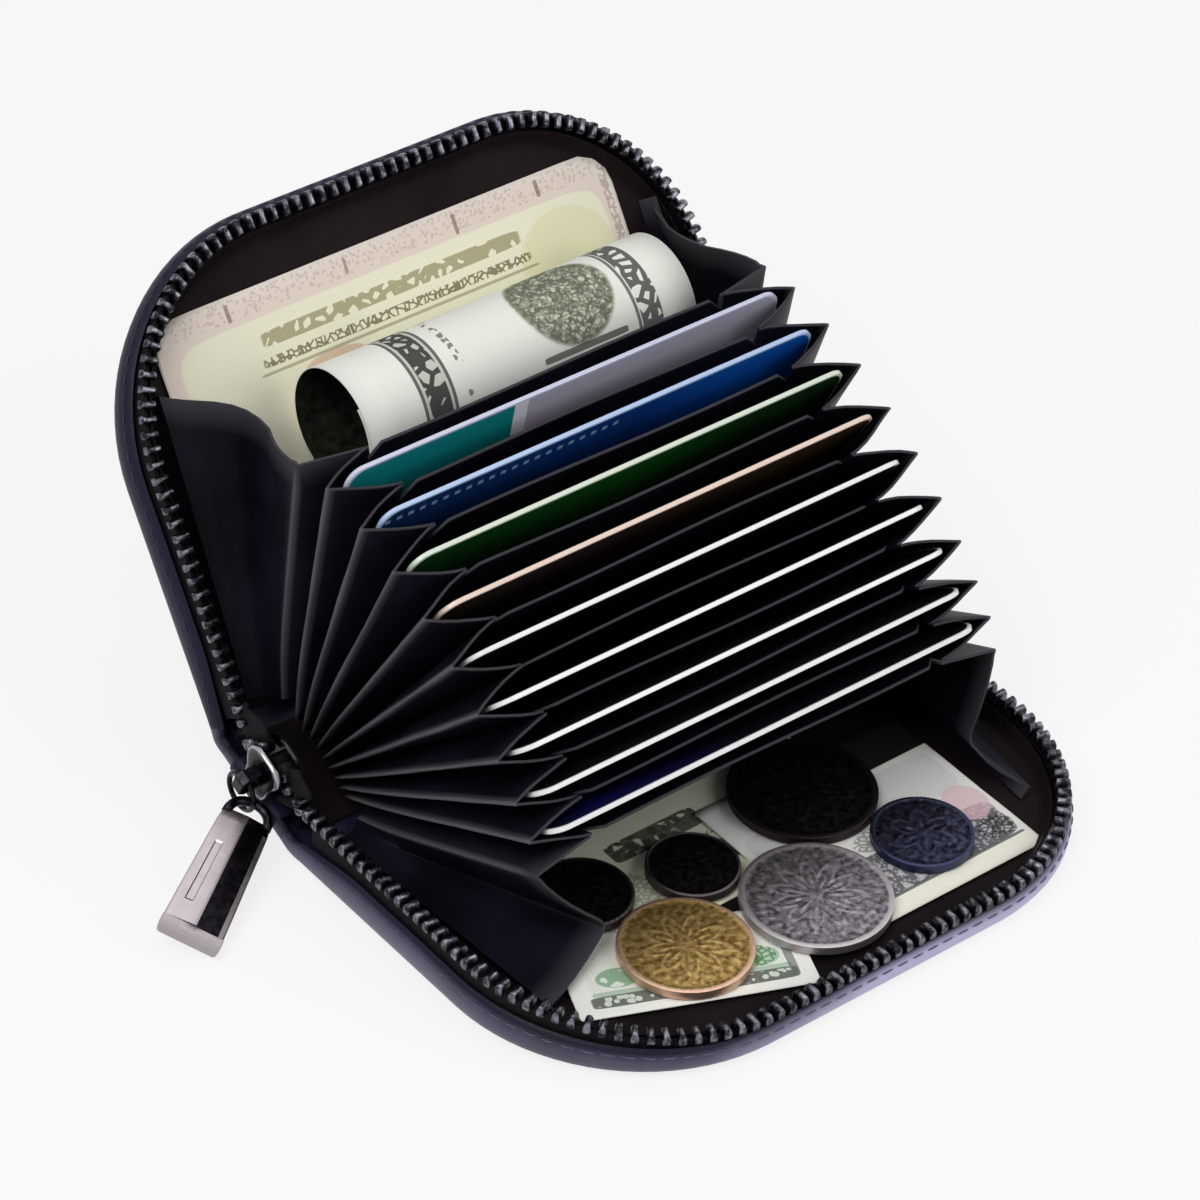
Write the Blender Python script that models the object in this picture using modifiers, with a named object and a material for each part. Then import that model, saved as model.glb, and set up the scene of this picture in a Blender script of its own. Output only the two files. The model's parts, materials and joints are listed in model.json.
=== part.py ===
# Zip-around accordion card wallet, opened: front cover on the table, back cover leaning away.
# Metres, +Z up. X runs along the spine, the front cover lies towards -Y of the spine.
# Directions across the wallet are angles measured at the spine from the front cover (0)
# towards the back cover: a piece at angle a stretches along (0, -cos a, sin a).
import bpy
import bmesh
from math import cos, sin, pi, radians, hypot
from mathutils import Matrix, Vector

for old in list(bpy.data.objects):
    bpy.data.objects.remove(old)

# Driving dimensions
CARD_LENGTH = 0.0856
CARD_HEIGHT = 0.05398
CARD_THICKNESS = 0.00076
CARD_CORNER = 0.00318
CARD_COUNT = 9
CARD_ROOT = 0.0025
CARD_SHOWN = 0.00198
COVER_SIDE_MARGIN = 0.0148
COVER_HALF_WIDTH = CARD_LENGTH / 2 + COVER_SIDE_MARGIN
COVER_FAR_MARGIN = 0.01992
COVER_DEPTH = CARD_ROOT + CARD_HEIGHT + COVER_FAR_MARGIN
COVER_CORNER = 0.0345
SPINE_CHORD = 0.022
OPENING_ANGLE = radians(125)
SPINE_ANGLE = radians(67.5)
HINGE_HEIGHT = 0.0011
HINGE_PLACE_Y = 0.037

# Leather, board and lining thicknesses, and the gap that keeps layers apart
LEATHER = 0.001
BOARD = 0.0005
LINING = 0.0005
LAYER_GAP = 0.00015
SEAT_GAP = 0.0003
FOLD_GAP = 0.0004
CURVE_STEPS = 8
FINE_STEPS = 24
SHARP_ANGLE = radians(30)
BEVEL_ANGLE = radians(40)

# Fan of dividers and card pockets
DIVIDER_THICKNESS = 0.0004
DIVIDER_INSET = 0.0073
DIVIDER_HALF_WIDTH = CARD_LENGTH / 2 - DIVIDER_INSET
DIVIDER_HEIGHT = CARD_ROOT + CARD_HEIGHT - CARD_SHOWN
DIVIDER_CORNER = 0.004
DIVIDER_ROOT = 0.0003
POCKET_PITCH = 0.0015
FRONT_COMPARTMENT = 0.0047
FAN_ROOT_LIFT = 0.001
# Angles of the nine card pockets in the photograph, from the rear one to the front one
POCKET_ANGLES = [radians(a) for a in (81.7, 74.0, 66.6, 59.2, 52.0, 45.2, 38.8, 33.0, 28.0)]
REAR_DIVIDER_ANGLE = radians(85.8)
FRONT_DIVIDER_ANGLE = radians(25.4)


def frame_at(origin, angle):
    """Local x along the spine, local z outwards at this angle, local y towards larger angles."""
    return Matrix.Translation(origin) @ Matrix.Rotation(pi / 2 - angle, 4, "X")


FRONT_HINGE = Vector((0, HINGE_PLACE_Y, HINGE_HEIGHT))
FRONT_FRAME = frame_at(FRONT_HINGE, 0)
SPINE_FRAME = frame_at(FRONT_HINGE, SPINE_ANGLE)
BACK_HINGE = SPINE_FRAME @ Vector((0, SPINE_CHORD, 0))
BACK_FRAME = frame_at(BACK_HINGE, OPENING_ANGLE) @ Matrix.Rotation(pi, 4, "Z")


def divider_angles():
    inner = [(a + b) / 2 for a, b in zip(POCKET_ANGLES, POCKET_ANGLES[1:])]
    return [REAR_DIVIDER_ANGLE] + inner + [FRONT_DIVIDER_ANGLE]


def root_frame(steps_from_front, angle):
    """Frame of a fan piece whose root lies so many pitches along the spine from the front divider."""
    place = FRONT_COMPARTMENT + POCKET_PITCH * steps_from_front
    return frame_at(SPINE_FRAME @ Vector((0, place, FAN_ROOT_LIFT)), angle)


DIVIDER_FRAMES = [root_frame(CARD_COUNT - k, a) for k, a in enumerate(divider_angles())]
POCKET_FRAMES = [root_frame(CARD_COUNT - k - 0.5, a) for k, a in enumerate(POCKET_ANGLES)]

# Collections, materials and bodies
parts = bpy.data.collections.new("accordion_card_wallet")
cutters = bpy.data.collections.new("cutters")
bpy.context.scene.collection.children.link(parts)
bpy.context.scene.collection.children.link(cutters)


def material(name, colour, roughness, metallic=0.0):
    made = bpy.data.materials.get(name)
    if made is None:
        made = bpy.data.materials.new(name)
        made.use_nodes = True
        shader = made.node_tree.nodes["Principled BSDF"]
        shader.inputs["Base Color"].default_value = (*colour, 1)
        shader.inputs["Roughness"].default_value = roughness
        shader.inputs["Metallic"].default_value = metallic
    return made


def outer_leather():
    return material("navy_leather", (0.012, 0.011, 0.024), 0.45)


def lining_leather():
    return material("black_lining", (0.010, 0.009, 0.012), 0.55)


def zip_metal():
    return material("nickel", (0.42, 0.42, 0.45), 0.3, 1.0)


def paper(name, colour):
    return material(name, colour, 0.85)


def body(name, frame):
    holder = bpy.data.objects.new(name + "_joint", None)
    holder.empty_display_size = CARD_CORNER
    holder.matrix_world = frame
    parts.objects.link(holder)
    return holder


def new_piece(name, mesh, look, holder, place=(0, 0, 0)):
    """A named object in its body's frame."""
    mesh.materials.clear()
    mesh.materials.append(look)
    piece = bpy.data.objects.new(name, mesh)
    piece.parent = holder
    piece.location = place
    parts.objects.link(piece)
    return piece


def mesh_from(name, shape):
    bmesh.ops.recalc_face_normals(shape, faces=shape.faces)
    mesh = bpy.data.meshes.new(name)
    shape.to_mesh(mesh)
    shape.free()
    return mesh


def rounded_outline(half_width, low, high, corner, low_corner=0.0):
    """Points of a rectangle in local x and z, its far corners rounded, its near ones if asked."""
    def arc(centre_x, centre_z, radius, first, last):
        turns = [first + (last - first) * i / CURVE_STEPS for i in range(CURVE_STEPS + 1)]
        return [(centre_x + radius * cos(t), centre_z + radius * sin(t)) for t in turns]

    side = half_width - corner
    near = half_width - low_corner
    points = arc(side, high - corner, corner, 0, pi / 2)
    points += arc(-side, high - corner, corner, pi / 2, pi)
    if low_corner:
        points += arc(-near, low + low_corner, low_corner, pi, 1.5 * pi)
        points += arc(near, low + low_corner, low_corner, 1.5 * pi, 2 * pi)
    else:
        points += [(-half_width, low), (half_width, low)]
    return points


def flat_plate(name, outline, bottom, thickness):
    """A flat outline in local x and z, pulled up along local y."""
    shape = bmesh.new()
    corners = [shape.verts.new((x, bottom, z)) for x, z in outline]
    face = shape.faces.new(corners)
    pulled = bmesh.ops.extrude_face_region(shape, geom=[face])
    moved = [v for v in pulled["geom"] if isinstance(v, bmesh.types.BMVert)]
    bmesh.ops.translate(shape, verts=moved, vec=(0, thickness, 0))
    return mesh_from(name, shape)


def loft(name, rings, outer_count=0):
    """A closed solid through rings of equal point counts, with flat ends.

    A folded sheet gives the count of its outer points: the twisted faces of its two sides
    are then split along matching diagonals, so that the sides stay one thickness apart.
    """
    shape = bmesh.new()
    made = [[shape.verts.new(p) for p in ring] for ring in rings]
    for ring, following in zip(made, made[1:]):
        for i, corner in enumerate(ring):
            after = (i + 1) % len(ring)
            if not outer_count:
                shape.faces.new((corner, ring[after], following[after], following[i]))
            elif i < outer_count:
                shape.faces.new((corner, ring[after], following[after]))
                shape.faces.new((corner, following[after], following[i]))
            else:
                shape.faces.new((corner, ring[after], following[i]))
                shape.faces.new((ring[after], following[after], following[i]))
    shape.faces.new(made[0][::-1])
    shape.faces.new(made[-1])
    return mesh_from(name, shape)


def sheet(name, rows, thickness, look, holder):
    """An open sheet through rows of points, given its thickness by Solidify."""
    shape = bmesh.new()
    grid = [[shape.verts.new(p) for p in row] for row in rows]
    for row, following in zip(grid, grid[1:]):
        for i in range(len(row) - 1):
            shape.faces.new((row[i], row[i + 1], following[i + 1]))
            shape.faces.new((row[i], following[i + 1], following[i]))
    piece = new_piece(name, mesh_from(name, shape), look, holder)
    solid = piece.modifiers.new("thickness", "SOLIDIFY")
    solid.thickness = thickness
    solid.offset = 0
    solid.use_even_offset = True
    return piece


def bevel(piece, width, segments=2):
    edge = piece.modifiers.new("soft_edges", "BEVEL")
    edge.width = width
    edge.segments = segments
    edge.limit_method = "ANGLE"
    edge.angle_limit = BEVEL_ANGLE
    return piece


def cut(piece, cutter, how="DIFFERENCE"):
    """Cuts or joins with another object, which is kept out of the model."""
    for collection in list(cutter.users_collection):
        collection.objects.unlink(cutter)
    cutters.objects.link(cutter)
    cutter.hide_render = True
    cutter.display_type = "WIRE"
    change = piece.modifiers.new(how.lower(), "BOOLEAN")
    change.operation = how
    change.solver = "EXACT"
    change.object = cutter
    return piece


# Covers: a leather tray whose turned-up edge leans outwards and carries the zip
EDGE_FLARE = 0.0032
EDGE_TURN_RISE = 0.0005
EDGE_TURN_INSET = 0.0012
EDGE_TOP = 0.003
BOARD_INSET = 0.0051
COVER_ROOT = 0.0004
BOARD_ROOT = 0.0016
PLATE_BOTTOM = -HINGE_HEIGHT
PLATE_TOP = PLATE_BOTTOM + LEATHER
TURN_HEIGHT = PLATE_BOTTOM + EDGE_TURN_RISE
EDGE_SLOPE = EDGE_FLARE / (EDGE_TOP - TURN_HEIGHT)
BOARD_BOTTOM = PLATE_TOP + LAYER_GAP
LINING_BOTTOM = BOARD_BOTTOM + BOARD + LAYER_GAP
LINING_TOP = LINING_BOTTOM + LINING


def edge_inner_inset(height):
    """How far the inner face of the leaning edge lies inside the cover's outline at this height."""
    level_thickness = LEATHER * hypot(1, EDGE_SLOPE)
    return EDGE_FLARE - (height - TURN_HEIGHT) * EDGE_SLOPE + level_thickness


def u_path(inset, root):
    """Cover outline moved inwards, from the right end of the hinge side round to the left end."""
    points = rounded_outline(COVER_HALF_WIDTH - inset, root, COVER_DEPTH - inset, COVER_CORNER - inset)
    return [points[-1]] + points[:-1]


def leather_cover(name, holder):
    levels = [(EDGE_FLARE + EDGE_TURN_INSET, PLATE_BOTTOM), (EDGE_FLARE, TURN_HEIGHT), (0, EDGE_TOP)]
    rings = [[(x, height, z) for x, z in u_path(inset, COVER_ROOT)] for inset, height in levels]
    shape = bmesh.new()
    made = [[shape.verts.new(p) for p in ring] for ring in rings]
    shape.faces.new(made[0])
    for ring, following in zip(made, made[1:]):
        for i in range(len(ring) - 1):
            shape.faces.new((ring[i], ring[i + 1], following[i + 1], following[i]))
    bmesh.ops.recalc_face_normals(shape, faces=shape.faces)
    if made[0][0].link_faces[0].normal.y > 0:
        bmesh.ops.reverse_faces(shape, faces=shape.faces)
    mesh = bpy.data.meshes.new(name)
    shape.to_mesh(mesh)
    shape.free()
    piece = new_piece(name, mesh, outer_leather(), holder)
    solid = piece.modifiers.new("leather", "SOLIDIFY")
    solid.thickness = LEATHER
    solid.offset = -1
    solid.use_even_offset = True
    return piece


def cover_plate(name, holder, bottom, thickness, look):
    inset = BOARD_INSET
    outline = rounded_outline(COVER_HALF_WIDTH - inset, BOARD_ROOT, COVER_DEPTH - inset,
                              COVER_CORNER - inset)
    return new_piece(name, flat_plate(name, outline, bottom, thickness), look, holder)


# Zip: tape inside each leather edge, and a row of teeth above it that rises as the wallet closes
TAPE_THICKNESS = 0.0006
TAPE_GAP = 0.0002
TAPE_BOTTOM = LINING_TOP + SEAT_GAP
TAPE_ABOVE_EDGE = 0.0005
TAPE_TOP = EDGE_TOP + TAPE_ABOVE_EDGE
TAPE_ROOT = 0.0035
TOOTH_PITCH = 0.00235
TOOTH_WIDTH = 0.0012
TOOTH_DEPTH = 0.0024
TOOTH_HEIGHT = 0.0022
TOOTH_GAP_BELOW = 0.0003
CORD_DEPTH = 0.0011
CORD_HEIGHT = 0.0009
ROW_ROOT = 0.0135
ROW_BOTTOM = TAPE_TOP + TOOTH_GAP_BELOW
ROW_INSET = edge_inner_inset(EDGE_TOP) + (TAPE_GAP + TAPE_THICKNESS) / 2


def zip_tape(name, holder):
    low = edge_inner_inset(TAPE_BOTTOM) + TAPE_GAP
    high = edge_inner_inset(TAPE_TOP) + TAPE_GAP
    profile = [(low, TAPE_BOTTOM), (high, TAPE_TOP)]
    profile += [(high + TAPE_THICKNESS, TAPE_TOP), (low + TAPE_THICKNESS, TAPE_BOTTOM)]
    paths = [u_path(inset, TAPE_ROOT) for inset, height in profile]
    rings = []
    for i in range(len(paths[0])):
        rings.append([(path[i][0], height, path[i][1]) for path, (inset, height) in zip(paths, profile)])
    return new_piece(name, loft(name, rings), lining_leather(), holder)


def points_along(path, distances):
    """Places and leftward directions at these distances along a path of (x, z) points."""
    found = []
    walked = 0.0
    ahead = iter(distances)
    wanted = next(ahead, None)
    for (x0, z0), (x1, z1) in zip(path, path[1:]):
        span = hypot(x1 - x0, z1 - z0)
        while wanted is not None and wanted <= walked + span:
            share = (wanted - walked) / span
            across, out = x1 - x0, z1 - z0
            found.append((x0 + across * share, z0 + out * share, across / span, out / span))
            wanted = next(ahead, None)
        walked += span
    return found


def fine_path(inset, root):
    """The same outline with its corners drawn finely, so that teeth turn a little at a time."""
    half_width = COVER_HALF_WIDTH - inset
    depth = COVER_DEPTH - inset
    radius = COVER_CORNER - inset
    steps = FINE_STEPS
    path = [(half_width, root)]
    for side, first in ((1, 0), (-1, pi / 2)):
        for i in range(steps + 1):
            turn = first + pi / 2 * i / steps
            centre_x = side * (half_width - radius)
            path.append((centre_x + radius * cos(turn), depth - radius + radius * sin(turn)))
    path.append((-half_width, root))
    return path


def path_length(path):
    return sum(hypot(b[0] - a[0], b[1] - a[1]) for a, b in zip(path, path[1:]))


def teeth_row(name, holder):
    """Teeth clamped on the cord of the tape edge, all one comb."""
    path = fine_path(ROW_INSET, ROW_ROOT)
    count = int(path_length(path) / TOOTH_PITCH)
    spare = path_length(path) - count * TOOTH_PITCH
    distances = []
    for i in range(count):
        start = spare / 2 + TOOTH_PITCH * i + (TOOTH_PITCH - TOOTH_WIDTH) / 2
        distances += [start, start, start + TOOTH_WIDTH, start + TOOTH_WIDTH]
    cord = (CORD_DEPTH, CORD_HEIGHT)
    tooth = (TOOTH_DEPTH, TOOTH_HEIGHT)
    sizes = [cord, tooth, tooth, cord] * count
    rings = []
    for (x, z, along_x, along_z), (depth, height) in zip(points_along(path, distances), sizes):
        half = depth / 2
        low = ROW_BOTTOM + (0 if height == TOOTH_HEIGHT else LAYER_GAP)
        side = Vector((-along_z, 0, along_x)) * half
        centre = Vector((x, 0, z))
        up = Vector((0, 1, 0))
        rings.append([centre + side + up * low, centre + side + up * (low + height),
                      centre - side + up * (low + height), centre - side + up * low])
    return new_piece(name, loft(name, rings), zip_metal(), holder)


# Spine: outer leather, lining, and a folded tab at each end of the zip
SPINE_END_MARGIN = 0.004
SPINE_HALF_WIDTH = COVER_HALF_WIDTH - SPINE_END_MARGIN
SPINE_LINING_MARGIN = 0.0016
TAB_WIDTH = 0.007
TAB_LENGTH = 0.0032
TAB_HEIGHT = 0.0042
TAB_BEVEL = 0.0006


def box_mesh(name, low, high):
    shape = bmesh.new()
    bmesh.ops.create_cube(shape, size=1)
    size = [b - a for a, b in zip(low, high)]
    middle = [(a + b) / 2 for a, b in zip(low, high)]
    bmesh.ops.scale(shape, vec=size, verts=shape.verts)
    bmesh.ops.translate(shape, vec=middle, verts=shape.verts)
    return mesh_from(name, shape)


def spine_pieces(holder):
    panel = box_mesh("spine_panel", (-SPINE_HALF_WIDTH, FOLD_GAP, PLATE_BOTTOM),
                     (SPINE_HALF_WIDTH, SPINE_CHORD - FOLD_GAP, PLATE_TOP))
    bevel(new_piece("spine_panel", panel, outer_leather(), holder), LAYER_GAP)
    margin = SPINE_LINING_MARGIN
    lining_end = SPINE_HALF_WIDTH - margin
    lining = box_mesh("spine_lining", (-lining_end, margin, PLATE_TOP + SEAT_GAP),
                      (lining_end, SPINE_CHORD - margin, PLATE_TOP + SEAT_GAP + LINING))
    new_piece("spine_lining", lining, lining_leather(), holder)
    middle = SPINE_CHORD / 2
    for name, side in (("zip_end_tab_left", -1), ("zip_end_tab_right", 1)):
        ends = sorted((side * (SPINE_HALF_WIDTH + SEAT_GAP), side * (SPINE_HALF_WIDTH + TAB_LENGTH)))
        tab = box_mesh(name, (ends[0], middle - TAB_WIDTH / 2, PLATE_BOTTOM),
                       (ends[1], middle + TAB_WIDTH / 2, PLATE_BOTTOM + TAB_HEIGHT))
        bevel(new_piece(name, tab, outer_leather(), holder), TAB_BEVEL)


# Dividers and accordion gussets
GUSSET_THICKNESS = 0.00025
RIDGE_BEYOND_CARD = 0.0035
GUSSET_RIDGE = CARD_LENGTH / 2 + RIDGE_BEYOND_CARD
SHOULDER_BEYOND_CARD = 0.0018
GUSSET_SHOULDER = CARD_LENGTH / 2 + SHOULDER_BEYOND_CARD
GUSSET_VALLEY = DIVIDER_HALF_WIDTH + FOLD_GAP
GUSSET_SHOULDER_HALF = 0.00078
GUSSET_CLEARANCE = 0.0001
GUSSET_START = 0.0072
PLEAT_STEPS = 4
GUSSET_BEYOND_DIVIDER = 0.0005
GUSSET_TOP = DIVIDER_HEIGHT + GUSSET_BEYOND_DIVIDER
RIDGE_BLUNTNESS = 0.00025
STRIP_THICKNESS = 0.0003
STRIP_START = 0.0009
STRIP_HEIGHT = 0.001
STRIP_OVERLAP = 0.0006


def divider(name, frame, holder):
    outline = rounded_outline(DIVIDER_HALF_WIDTH, DIVIDER_ROOT, DIVIDER_HEIGHT, DIVIDER_CORNER)
    mesh = flat_plate(name, outline, -DIVIDER_THICKNESS / 2, DIVIDER_THICKNESS)
    return new_piece(name, mesh, lining_leather(), holder)


def half_gap(pocket, distance):
    """Half the space between a pocket's two divider planes, so far from the spine."""
    here = POCKET_FRAMES[pocket].to_translation()
    out = POCKET_FRAMES[pocket].to_3x3() @ Vector((0, distance, 0))
    across = POCKET_FRAMES[pocket].to_3x3() @ Vector((0, 1, 0))
    outwards = POCKET_FRAMES[pocket].to_3x3() @ Vector((0, 0, 1))
    gaps = []
    for frame in (DIVIDER_FRAMES[pocket], DIVIDER_FRAMES[pocket + 1]):
        normal = frame.to_3x3() @ Vector((0, 1, 0))
        point = here + outwards * distance
        gaps.append(abs((frame.to_translation() - point).dot(normal) / across.dot(normal)))
    return min(gaps)


def pocket_gusset(name, pocket, holder):
    """Left and right pleats of one card pocket, joined by the strip along the spine."""
    def pleat(side):
        rings = []
        for i in range(PLEAT_STEPS + 1):
            distance = GUSSET_START + (GUSSET_TOP - GUSSET_START) * i / PLEAT_STEPS
            wide = half_gap(pocket, distance) - GUSSET_CLEARANCE
            straight = wide * (GUSSET_RIDGE - GUSSET_SHOULDER) / (GUSSET_RIDGE - GUSSET_VALLEY)
            shoulder = max(min(GUSSET_SHOULDER_HALF, wide), straight)
            outer = [(GUSSET_VALLEY, wide), (GUSSET_SHOULDER, shoulder)]
            outer += [(GUSSET_RIDGE, RIDGE_BLUNTNESS), (GUSSET_RIDGE, -RIDGE_BLUNTNESS)]
            outer += [(GUSSET_SHOULDER, -shoulder), (GUSSET_VALLEY, -wide)]
            thin = GUSSET_THICKNESS
            inner_shoulder = GUSSET_SHOULDER - thin / 2
            inner = [(GUSSET_VALLEY, -wide + thin), (inner_shoulder, -shoulder + thin)]
            inner += [(GUSSET_RIDGE - 2 * thin, 0), (inner_shoulder, shoulder - thin)]
            inner += [(GUSSET_VALLEY, wide - thin)]
            rings.append([(side * x, y, distance) for x, y in outer + inner])
        return loft(name, rings, len(outer))

    def flat_box(label, low, high):
        return new_piece(label, box_mesh(label, low, high), lining_leather(), holder)

    half = STRIP_THICKNESS / 2
    strip_end = GUSSET_RIDGE - RIDGE_BLUNTNESS
    tongue = GUSSET_SHOULDER + STRIP_OVERLAP
    gusset = flat_box(name, (-strip_end, -half, STRIP_START),
                      (strip_end, half, STRIP_START + STRIP_HEIGHT))
    for side, word in ((-1, "left"), (1, "right")):
        ends = sorted((side * tongue, side * (strip_end - LAYER_GAP)))
        reach = flat_box(f"{name}_tongue_{word}", (ends[0], -half / 2, STRIP_START + STRIP_HEIGHT / 2),
                         (ends[1], half / 2, GUSSET_START + STRIP_HEIGHT))
        cut(gusset, reach, "UNION")
        cut(gusset, new_piece(f"{name}_pleat_{word}", pleat(side), lining_leather(), holder), "UNION")
    return gusset


# Large compartments in front of and behind the fan
COMPARTMENT_GUSSET = 0.0003
COMPARTMENT_START = 0.006
COMPARTMENT_TOP = DIVIDER_HEIGHT - GUSSET_BEYOND_DIVIDER
COMPARTMENT_STEPS = 5
VALLEY_OFFSET = 0.0009
RIDGE_OFFSET = 0.0026
LEAF_EDGE_LIFT = 0.001
LEAF_EDGE_HEIGHT = TAPE_TOP + LEAF_EDGE_LIFT
LEAF_EDGE_INSET = 0.0065
LEAF_EDGE_X = COVER_HALF_WIDTH - LEAF_EDGE_INSET
# Inward folds: left and right places as shares of the leaf edge's, and heights above the hinge plane
FOLD_START_SHARE = 0.958
FRONT_FOLD_SHARES = (0.617, 0.812)
FRONT_FOLD_HEIGHT = 0.0062
BACK_FOLD_SHARES = (0.773, 0.93)
BACK_FOLD_HEIGHT = 0.013


def compartment_leaf(name, holder, side, divider_frame, turn, cover_side, fold_share, fold_height):
    """Side gusset between the last divider and a cover: divider, ridge, inward fold, cover edge."""
    rows = []
    divider_here = holder.matrix_world.inverted() @ divider_frame
    for i in range(COMPARTMENT_STEPS + 1):
        share = i / COMPARTMENT_STEPS
        out = COMPARTMENT_START + (COMPARTMENT_TOP - COMPARTMENT_START) * share
        fold_x = LEAF_EDGE_X * (FOLD_START_SHARE + (fold_share - FOLD_START_SHARE) * share)
        rise = LEAF_EDGE_HEIGHT + (fold_height - LEAF_EDGE_HEIGHT) * share
        valley = divider_here @ Vector((side * GUSSET_VALLEY, turn * VALLEY_OFFSET, out))
        ridge = divider_here @ Vector((side * GUSSET_RIDGE, turn * RIDGE_OFFSET, out))
        inward = Vector((cover_side * fold_x, rise, out))
        edge = Vector((cover_side * LEAF_EDGE_X, LEAF_EDGE_HEIGHT, out))
        rows.append([valley, ridge, inward, edge])
    return sheet(name, rows, COMPARTMENT_GUSSET, lining_leather(), holder)


def compartment_gusset(name, holder, divider_frame, turn, x_sign, fold_shares, fold_height):
    """Both side leaves of a large compartment, joined by a strip along the divider's root."""
    left = compartment_leaf(name, holder, -1, divider_frame, turn, -x_sign, fold_shares[0], fold_height)
    right = compartment_leaf(f"{name}_right", holder, 1, divider_frame, turn, x_sign, fold_shares[1],
                             fold_height)
    middle = turn * VALLEY_OFFSET
    half = COMPARTMENT_GUSSET / 2
    reach = GUSSET_VALLEY + STRIP_OVERLAP
    strip_mesh = box_mesh(f"{name}_strip", (-reach, middle - half, COMPARTMENT_START - STRIP_OVERLAP),
                          (reach, middle + half, COMPARTMENT_START + STRIP_HEIGHT))
    strip = new_piece(f"{name}_strip", strip_mesh, lining_leather(), holder)
    strip.matrix_local = holder.matrix_world.inverted() @ divider_frame
    cut(left, right, "UNION")
    return cut(left, strip, "UNION")


# Cards and what else the compartments hold
CARD_COLOURS = [(0.012, 0.26, 0.27), (0.01, 0.09, 0.3), (0.01, 0.045, 0.012), (0.85, 0.6, 0.5),
                (0.02, 0.02, 0.024), (0.03, 0.03, 0.035), (0.02, 0.02, 0.024), (0.03, 0.03, 0.035),
                (0.01, 0.015, 0.08)]
NOTE_THICKNESS = 0.0002
NOTE_GAP = 0.00015
NOTE_CORNER = 0.001
# Notes of the front compartment: middle and half size across as shares of the cover's half width,
# middle and half size outwards as shares of its depth, turn in the cover's plane, and layer
NOTE_SHARES = [("note_under_fan", -0.087, 0.504, 0.412, 0.228, 0, 0),
               ("note_front_left", -0.415, 0.332, 0.732, 0.118, radians(22), 1),
               ("note_front_right", 0.345, 0.36, 0.639, 0.243, 0, 1)]
BACK_NOTE_SHARES = (0.79, 0.16, 0.847)
BACK_NOTE_THICKNESS = 0.0004
BACK_NOTE_CORNER = 0.006
ROLL_RADIUS = 0.0108
ROLL_WALL = 0.0012
ROLL_LENGTH = 0.0655
ROLL_PLACE_SHARES = (0.115, 0.53)
COIN_BOTTOM = LINING_TOP + 2 * NOTE_THICKNESS + 3 * NOTE_GAP
COIN_THICKNESS = 0.0018
COIN_RIM_WIDTH = 0.0009
COIN_RIM_HEIGHT = 0.00025
COIN_SIDES = 40
LARGE_COIN_RADIUS = 0.0121
GOLD_COIN_RADIUS = 0.0107
BLUE_COIN_RADIUS = 0.0083
LEFT_COIN_RADIUS = 0.008
MIDDLE_COIN_RADIUS = 0.0075
# The silver coin's place: a share of the cover's half width, and its gap from the far edge
SILVER_COIN_SHARE = 0.0209
COIN_FAR_MARGIN = 0.0068
# Every other coin: radius, the coin it lies beside, direction from that one, space between them
COIN_CHAIN = [("coin_gold", GOLD_COIN_RADIUS, "coin_silver", radians(187.2), 0.0012),
              ("coin_dark_back", LARGE_COIN_RADIUS, "coin_silver", radians(-54.3), 0.0008),
              ("coin_blue_small", BLUE_COIN_RADIUS, "coin_silver", radians(-3.7), 0.003),
              ("coin_dark_middle", MIDDLE_COIN_RADIUS, "coin_silver", radians(-124.2), 0.00034),
              ("coin_dark_left", LEFT_COIN_RADIUS, "coin_gold", radians(253.6), 0.00038)]
COIN_COLOURS = {"coin_gold": (0.36, 0.25, 0.09), "coin_silver": (0.3, 0.29, 0.31),
                "coin_blue_small": (0.05, 0.055, 0.09)}
DARK_COIN_COLOUR = (0.045, 0.038, 0.04)


def card(name, holder, colour):
    outline = rounded_outline(CARD_LENGTH / 2, CARD_ROOT, CARD_ROOT + CARD_HEIGHT, CARD_CORNER,
                              CARD_CORNER)
    mesh = flat_plate(name, outline, -CARD_THICKNESS / 2, CARD_THICKNESS)
    return new_piece(name, mesh, material(name, colour, 0.4), holder)


def note(name, holder, middle, half_size, turn, bottom):
    """A flat note about its middle, across and out, turned in the plane of the cover."""
    outline = rounded_outline(half_size[0], -half_size[1], half_size[1], NOTE_CORNER, NOTE_CORNER)
    mesh = flat_plate(name, outline, bottom, NOTE_THICKNESS)
    place = (middle[0], 0, middle[1])
    piece = new_piece(name, mesh, paper("printed_note", (0.55, 0.6, 0.5)), holder, place)
    piece.rotation_euler = (0, -turn, 0)
    return piece


def coin(name, holder, radius, colour):
    """A disc turned about its own axis, with a raised rim on both faces."""
    half = COIN_THICKNESS / 2
    inner = radius - COIN_RIM_WIDTH
    field = half - COIN_RIM_HEIGHT
    profile = [(0, field), (inner - COIN_RIM_HEIGHT, field), (inner, half)]
    profile += [(radius - COIN_RIM_HEIGHT, half), (radius, field)]
    profile += [(r, -y) for r, y in reversed(profile)]
    shape = bmesh.new()
    line = [shape.verts.new((r, y, 0)) for r, y in profile]
    edges = [shape.edges.new(pair) for pair in zip(line, line[1:])]
    bmesh.ops.spin(shape, geom=line + edges, cent=(0, 0, 0), axis=(0, 1, 0), angle=2 * pi,
                   steps=COIN_SIDES, use_merge=True)
    bmesh.ops.remove_doubles(shape, verts=shape.verts, dist=LAYER_GAP / 10)
    piece = new_piece(name, mesh_from(name, shape), material(name, colour, 0.35, 1.0), holder)
    piece.data.shade_smooth()
    piece.data.set_sharp_from_angle(angle=SHARP_ANGLE)
    return piece


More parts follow.
